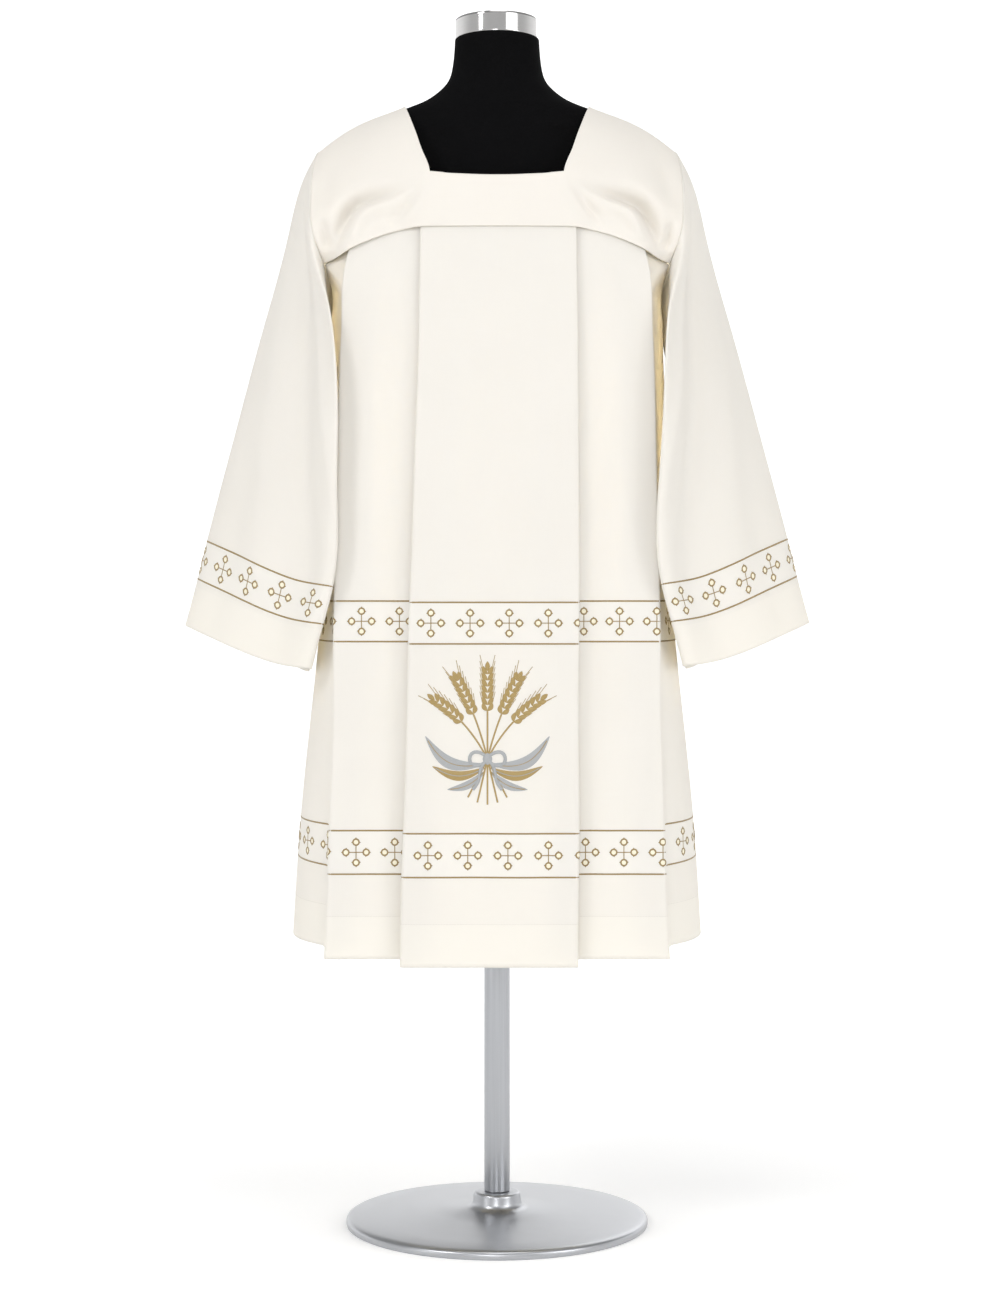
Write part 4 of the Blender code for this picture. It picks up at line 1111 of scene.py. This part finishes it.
def panel_along(grid, cloth, height, across, side):
    """Distance along the cloth at which a side panel is at the given places across; a place
    past its edge lies as far past it on the cloth."""
    row = body_row(height)
    first = HALF_COLUMNS - 1 + side * (CENTRE_COLUMNS + 2 * FOLD_COLUMNS)
    columns = first + side * np.arange(PANEL_COLUMNS)
    far = side * np.array(across)
    panel = side * grid[row, columns, 0]
    inside = np.clip(far, panel[0], panel[-1])
    return side * (np.interp(inside, panel, side * cloth["reach"][row, columns]) + far - inside)


def cross_places(grid, cloth, band):
    """Distances along the cloth of all the crosses of a body band, panel by panel."""
    height = LINE_HEIGHTS[band["lines"][0], 0]
    reach = cloth["reach"][body_row(height)]
    places = [np.array(band["centre"])]
    for side, word in ((-1, "left"), (1, "right")):
        places.append(panel_along(grid, cloth, height, band[word], side))
        corner = reach[HALF_COLUMNS - 1 + side * CORNER_START]
        end = reach[0 if side < 0 else -1]
        room = abs(end - corner) - LOOP_PLACE
        places.append(corner + side * np.arange(SIDE_FIRST[side], room, SIDE_PITCH))
    return np.concatenate(places)


def embroider(word, bands, laid, outward):
    """The gold and the pale thread of some bands as two pieces, which laid puts in place. A
    band is the paths of its lines, and where its crosses are along and up the cloth."""
    gold_shapes, pale_shapes = [], []
    for lines, along, up in bands:
        gold_shapes += [satin_line(path, LINE_WIDTH, LINE_RAISED) for path in lines]
        gold_shapes.append(repeated(cross_gold, along, up))
        pale_shapes.append(repeated(cross_pale, along, up))
    pieces = []
    for kind, shapes, material in (("gold", gold_shapes, old_gold), ("pale", pale_shapes, pale_yellow)):
        shape = together(shapes)
        pieces.append(sewn(f"crosses_{kind}_{word}", laid(shape), shape, material,
                           outward))
    return pieces


def embroider_body(word, grid, outward):
    """Both bands of a body panel. It gives the evenly read cloth too."""
    cloth = even_cloth(grid, outward)
    bands = []
    for band in BODY_BANDS:
        upper, lower = LINE_HEIGHTS[list(band["lines"])]
        middle = (upper + lower) / 2
        span = cloth["reach"][body_row(middle[0])]
        run = np.arange(span[0] + LINE_INSET, span[-1], LINE_STEP)
        lines = [np.stack([run, body_level(cloth, run, heights)], -1) for heights in (upper, lower)]
        at = cross_places(grid, cloth, band)
        bands.append((lines, at, body_level(cloth, at, middle)))
    return cloth, embroider(word, bands, lambda shape: laid_on_body(cloth, shape), outward)


front_cloth, front_crosses = embroider_body("front", front_grid, -1)
back_cloth, back_crosses = embroider_body("back", back_grid, 1)

CUFF_CROSSES = 13
CUFF_FIRST = {-1: -0.0005, 1: 0.0005}     # first cross's place past the outer silhouette


def embroider_cuff(word, grid, outward):
    """The band round a cuff: its lines lie on two coarse rings of the sleeve."""
    cloth = even_cloth(grid, outward, closed=True)
    down = lengths_along(across_first(grid)).mean(axis=0)
    upper, lower, _ = down[SLEEVE_ROWS]
    middle = (upper + lower) / 2
    rows = np.arange(len(grid))
    round_cuff = np.interp(middle, down, cloth["round"])
    run = np.linspace(0, round_cuff, int(round_cuff / LINE_STEP))
    lines = [np.stack([run, middle - edge + 0 * run], -1) for edge in (upper, lower)]
    at = (CUFF_FIRST[outward] + np.arange(CUFF_CROSSES) * round_cuff / CUFF_CROSSES) % round_cuff

    def laid(shape):
        along, up = shape[0].T
        row = np.interp(middle - up, down, rows)
        stretch = np.interp(row, rows, cloth["round"]) / round_cuff
        return on_cloth(cloth, along % round_cuff * stretch, row, shape[1] + CLOTH / 2)

    return embroider("sleeve_" + word, [(lines, at, 0 * at)], laid, outward)


for side, word in ((-1, "left"), (1, "right")):
    embroider_cuff(word, sleeve_grids[side], side)

# ------------------------------------------------------------------ the device on the front
# A sheaf of wheat in machine embroidery low on the centre panel: ears, beards and stalks in
# old-gold satin stitch, with leaves and a tied ribbon in silver-grey.
DEVICE_PLACE = np.array([-0.0110, 0.6219])
TIE = np.array([0.0, -0.0340])
STALKS = [
    # lean  stalk   ear     where its cut end is
    (-35.0, 0.0530, 0.0405, (0.0230, -0.0790)), (-17.5, 0.0550, 0.0445, (0.0120, -0.0850)),
    (0.0, 0.0560, 0.0470, (0.0, -0.0875)),
    (17.5, 0.0550, 0.0445, (-0.0120, -0.0850)), (35.0, 0.0530, 0.0405, (-0.0230, -0.0790)),
]
STALK_WIDTH = 0.0023
STALK_PULL = (0.55, 0.80)            # how far up, and how far over, a stalk's bend lies
GRAIN_LENGTH = 0.0118
GRAIN_WIDTH = 0.0060
GRAIN_RAISED = 0.0011
GRAIN_PITCH = 0.0072
GRAIN_LEAN = np.radians(30.0)
EAR_DROOP = 0.22                     # how much further over an ear's tip leans
BEARD_LENGTH = 0.0130
BEARD_WIDTH = 0.0009
BEARD_RAISED = 0.0004
BEARD_LEAN = 0.45                    # of a grain's lean
GRAIN_BOW = 0.0012
DEVICE_LEAVES = [
    # start             end                width   bow      thread
    ((0.0015, -0.0400), (0.0740, -0.0060), 0.0150, -0.0170, "silver"),
    ((0.0020, -0.0440), (0.0660, -0.0420), 0.0120, -0.0110, "gold"),
    ((0.0030, -0.0480), (0.0480, -0.0700), 0.0100, -0.0060, "silver"),
]
LEAF_RAISED = 0.0010
LEAF_ROWS = 18
RIB_ENDS = (0.04, 0.92)              # shares of a leaf's length that its rib runs between
RIB_WIDTH = 0.0012
RIB_RAISED = 0.0014
RIBBON_LOOP = (0.0210, 0.0078)
RIBBON_SWELL = 0.3                   # how much fuller a loop is at its outer end
RIBBON_TAIL = (0.0180, -0.0360)
RIBBON_TAIL_START = 0.05             # share of its length that the knot hides
RIBBON_WAVE = 0.0022
RIBBON_WAVE_RUN = 6                  # radians of the wave along a tail
RIBBON_WIDTH = 0.0042
RIBBON_RAISED = 0.0016
KNOT_WIDTH = 0.0115
KNOT_RAISED = 0.0024
KNOT_TOP = np.array([0.0, 0.0076])


def direction(angle):
    """The unit direction at an angle from straight up, leaning to +X."""
    return np.array([np.sin(angle), np.cos(angle)])


def ear_of_wheat(root, way, length, droop):
    """Pairs of grains, each with its beard, up a line that leans over by droop in all, and
    one more grain at its tip."""
    shapes = []
    for step in np.arange(0, length, GRAIN_PITCH):
        bend = way + droop * step / length
        foot = root + step * direction(bend)
        for hand in (-1, 1):
            tip = foot + GRAIN_LENGTH * direction(bend + hand * GRAIN_LEAN)
            end = tip + BEARD_LENGTH * direction(bend + hand * GRAIN_LEAN * BEARD_LEAN)
            shapes.append(satin_line(np.linspace(tip, end, 4), BEARD_WIDTH, BEARD_RAISED))
            shapes.append(satin_leaf(foot, tip, GRAIN_WIDTH, GRAIN_RAISED, lean=-hand * GRAIN_BOW))
    last = direction(way + droop)
    crown = root + length * last
    shapes.append(satin_leaf(crown, crown + GRAIN_LENGTH * last, GRAIN_WIDTH, GRAIN_RAISED))
    return shapes


device_shapes = {"gold": [], "silver": []}
for lean_degrees, stalk, ear, cut_end in STALKS:
    lean = np.radians(lean_degrees)
    top = TIE + stalk * direction(lean)
    pull = TIE + STALK_PULL[0] * stalk * direction(STALK_PULL[1] * lean)
    share = np.linspace(0, 1, 14)[:, None]
    upper = between(between(TIE, pull, share), between(pull, top, share), share)
    path = np.vstack([np.linspace(cut_end, TIE, 6)[:-1], upper])
    device_shapes["gold"].append(satin_line(path, STALK_WIDTH, LINE_RAISED))
    device_shapes["gold"] += ear_of_wheat(top, np.arctan2(*(top - pull)), ear, EAR_DROOP * lean)
for start, end, width, bow, thread in DEVICE_LEAVES:
    for hand in (-1, 1):
        first, last = np.array(start) * (hand, 1), np.array(end) * (hand, 1)
        device_shapes[thread].append(satin_leaf(first, last, width, LEAF_RAISED, LEAF_ROWS, hand * bow))
        share = np.linspace(*RIB_ENDS, LEAF_ROWS)[:, None]
        across = unit(np.array([first[1] - last[1], last[0] - first[0]]))
        rib = between(first, last, share) + hand * bow * np.sin(np.pi * share) * across
        other = "gold" if thread == "silver" else "silver"
        device_shapes[other].append(satin_line(rib, RIB_WIDTH, RIB_RAISED))
angle = np.linspace(0, 2 * np.pi, 28, endpoint=False)
for hand in (-1, 1):
    loop_across = hand * RIBBON_LOOP[0] * (1 + np.cos(angle)) / 2
    loop_up = RIBBON_LOOP[1] * np.sin(angle) * (1 + RIBBON_SWELL * np.cos(angle))
    bow = TIE + np.stack([loop_across, loop_up], -1)
    device_shapes["silver"].append(satin_line(bow, RIBBON_WIDTH, RIBBON_RAISED, closed=True))
    share = np.linspace(RIBBON_TAIL_START, 1, 12)
    tail_across = hand * (RIBBON_TAIL[0] * share + RIBBON_WAVE * np.sin(RIBBON_WAVE_RUN * share))
    tail = TIE + np.stack([tail_across, RIBBON_TAIL[1] * share], -1)
    device_shapes["silver"].append(satin_line(tail, RIBBON_WIDTH, RIBBON_RAISED))
device_shapes["silver"].append(satin_leaf(TIE + KNOT_TOP, TIE - KNOT_TOP, KNOT_WIDTH, KNOT_RAISED, rows=9))

for kind, material in (("gold", gold), ("silver", silver)):
    shape = together(device_shapes[kind])
    places = laid_on_body(front_cloth, shape, DEVICE_PLACE)
    sewn("wheat_sheaf_" + kind, places, shape, material, -1)

# ------------------------------------------------------------------ the hem's stitches
# Ivory thread: one row of machine stitches five centimetres up holds the turned-up hem of
# the front and the back.
STITCH_PITCH = 0.0032
STITCH_LENGTH = 0.0026
STITCH_WIDTH = 0.0006
STITCH_RAISED = 0.0003
STITCH = satin_line(np.linspace((-STITCH_LENGTH / 2, 0), (STITCH_LENGTH / 2, 0), 3), STITCH_WIDTH,
                    STITCH_RAISED)
# Its first colour is painted shade in the grooves between stitches, the second its colour on their crests.
ivory_thread = thread_finish("ivory_thread", (0.74, 0.71, 0.64), (0.86, 0.83, 0.76), 0.55, 0.0004)
for word, cloth, outward in (("front", front_cloth, -1), ("back", back_cloth, 1)):
    span = cloth["reach"][body_row(HEM_HEIGHTS[0] + HEM_DEPTH)]
    at = np.arange(span[0] + STITCH_PITCH, span[-1] - STITCH_PITCH, STITCH_PITCH)
    shape = repeated(STITCH, at, body_level(cloth, at, np.array(HEM_HEIGHTS) + HEM_DEPTH))
    sewn("hem_stitches_" + word, laid_on_body(cloth, shape), shape,
                             ivory_thread, outward)

# ------------------------------------------------------------------ studio
# A pale floor that sweeps up into a pale wall all round, which glows, mostly behind, and
# large soft lamps, the main one high on the left in front. Two small warm lamps inside the
# body stand for the light that clothes worn under it would throw back through its cloth.
FLOOR_PROFILE = [(9.0, 4.2), (9.0, 2.6), (8.85, 1.5), (8.4, 0.7), (7.7, 0.2), (6.8, 0.0), (0.0, 0.0)]
GLOW_FROM, GLOW_TO = (-3.0, 0.14), (5.0, 0.62)      # places from front to back, and strengths
WORLD_LIGHT = 0.40
WHITE = (1.0, 1.0, 1.0)
pale, tree, shader = make_finish("pale_floor", Roughness=0.9, Specular_IOR_Level=0.2)
place = add_node(tree, "ShaderNodeTexCoord").outputs["Object"]
grain = add_node(tree, "ShaderNodeTexNoise", {"Vector": place, "Scale": 3.0, "Detail": 2.0})
paint(tree, shader, grain.outputs[0], (0.86, 0.86, 0.86), (0.88, 0.88, 0.88))
backwards = add_node(tree, "ShaderNodeSeparateXYZ", {0: place}).outputs[1]
glow = add_node(tree, "ShaderNodeMapRange",
                {0: backwards, 1: GLOW_FROM[0], 2: GLOW_TO[0], 3: GLOW_FROM[1], 4: GLOW_TO[1]},
                interpolation_type="SMOOTHSTEP")
shader.inputs["Emission Color"].default_value = (*WHITE, 1)
tree.links.new(glow.outputs[0], shader.inputs["Emission Strength"])
floor_points, floor_quads = turned(FLOOR_PROFILE)
mesh = bpy.data.meshes.new("studio_floor")
mesh.from_pydata(floor_points.reshape(-1, 3), [], floor_quads)
mesh.materials.append(pale)
mesh.shade_smooth()
floor = bpy.data.objects.new("studio_floor", mesh)
bpy.context.scene.collection.objects.link(floor)

world = bpy.data.worlds.new("studio_white")
bpy.context.scene.world = world
world.use_nodes = True
world.node_tree.nodes["Background"].inputs[0].default_value = (*WHITE, 1)
world.node_tree.nodes["Background"].inputs[1].default_value = WORLD_LIGHT
bpy.context.scene.view_settings.view_transform = "Standard"

WARM = (1.0, 0.895, 0.65)
LAMPS = [
    # name          place                   width height power  aimed at              colour
    ("key_lamp",    (-2.6, -2.6, 3.0),       1.2, 1.2, 42.5, (0.0, 0.0, 0.9), WHITE),
    ("fill_lamp",   (2.6, -3.0, 2.2),        2.4, 2.4, 23.0, (0.0, 0.0, 0.8), WHITE),
    ("front_lamp",  (-0.3, -3.5, 1.0),       0.9, 0.9, 15.5, (0.0, 0.0, 0.8), WHITE),
    ("top_lamp",    (0.1, -0.8, 3.4),        1.2, 1.2, 16.0, (0.0, 0.0, 1.0), WHITE),
    ("low_left",    (-2.4, -1.9, 0.5),       1.0, 1.0, 4.0, (-0.2, 0.0, 0.6), WHITE),
    ("low_right",   (2.4, -1.8, 0.9),        1.0, 1.0, 11.0, (0.2, 0.0, 0.8), WHITE),
    ("back_lamp",   (1.5, 3.2, 2.6),         2.6, 2.6, 22.0, (0.0, 0.0, 0.8), WHITE),
    ("inner_left",  (-0.167, -0.086, 0.93), 0.03, 0.52, 0.42, (-1.0, 0.060, 0.93), WARM),
    ("inner_right", (0.167, -0.086, 0.93),  0.03, 0.52, 0.42, (1.0, 0.060, 0.93), WARM),
]
for name, spot, width, height, power, target, colour in LAMPS:
    data = bpy.data.lights.new(name, "AREA")
    data.shape = "ELLIPSE"
    data.size = width
    data.size_y = height
    data.color = colour
    data.energy = power
    lamp = bpy.data.objects.new(name, data)
    bpy.context.scene.collection.objects.link(lamp)
    lamp.location = spot
    lamp.rotation_euler = (Vector(target) - Vector(spot)).to_track_quat("-Z", "Y").to_euler()

# The camera looks level at the front from three metres away. Its focal length is stated in
# heights of the picture, the longer side, which the sensor's size stands for.
CAMERA_PLACE = (0.0037, -3.0, 0.72)
SENSOR = 36
FOCAL_LENGTH = 2400 / 1293
camera_data = bpy.data.cameras.new("camera")
camera_data.lens = FOCAL_LENGTH * SENSOR
camera_data.sensor_width = SENSOR
camera = bpy.data.objects.new("camera", camera_data)
bpy.context.scene.collection.objects.link(camera)
camera.location = CAMERA_PLACE
camera.rotation_euler = (np.pi / 2, 0, 0)
bpy.context.scene.camera = camera
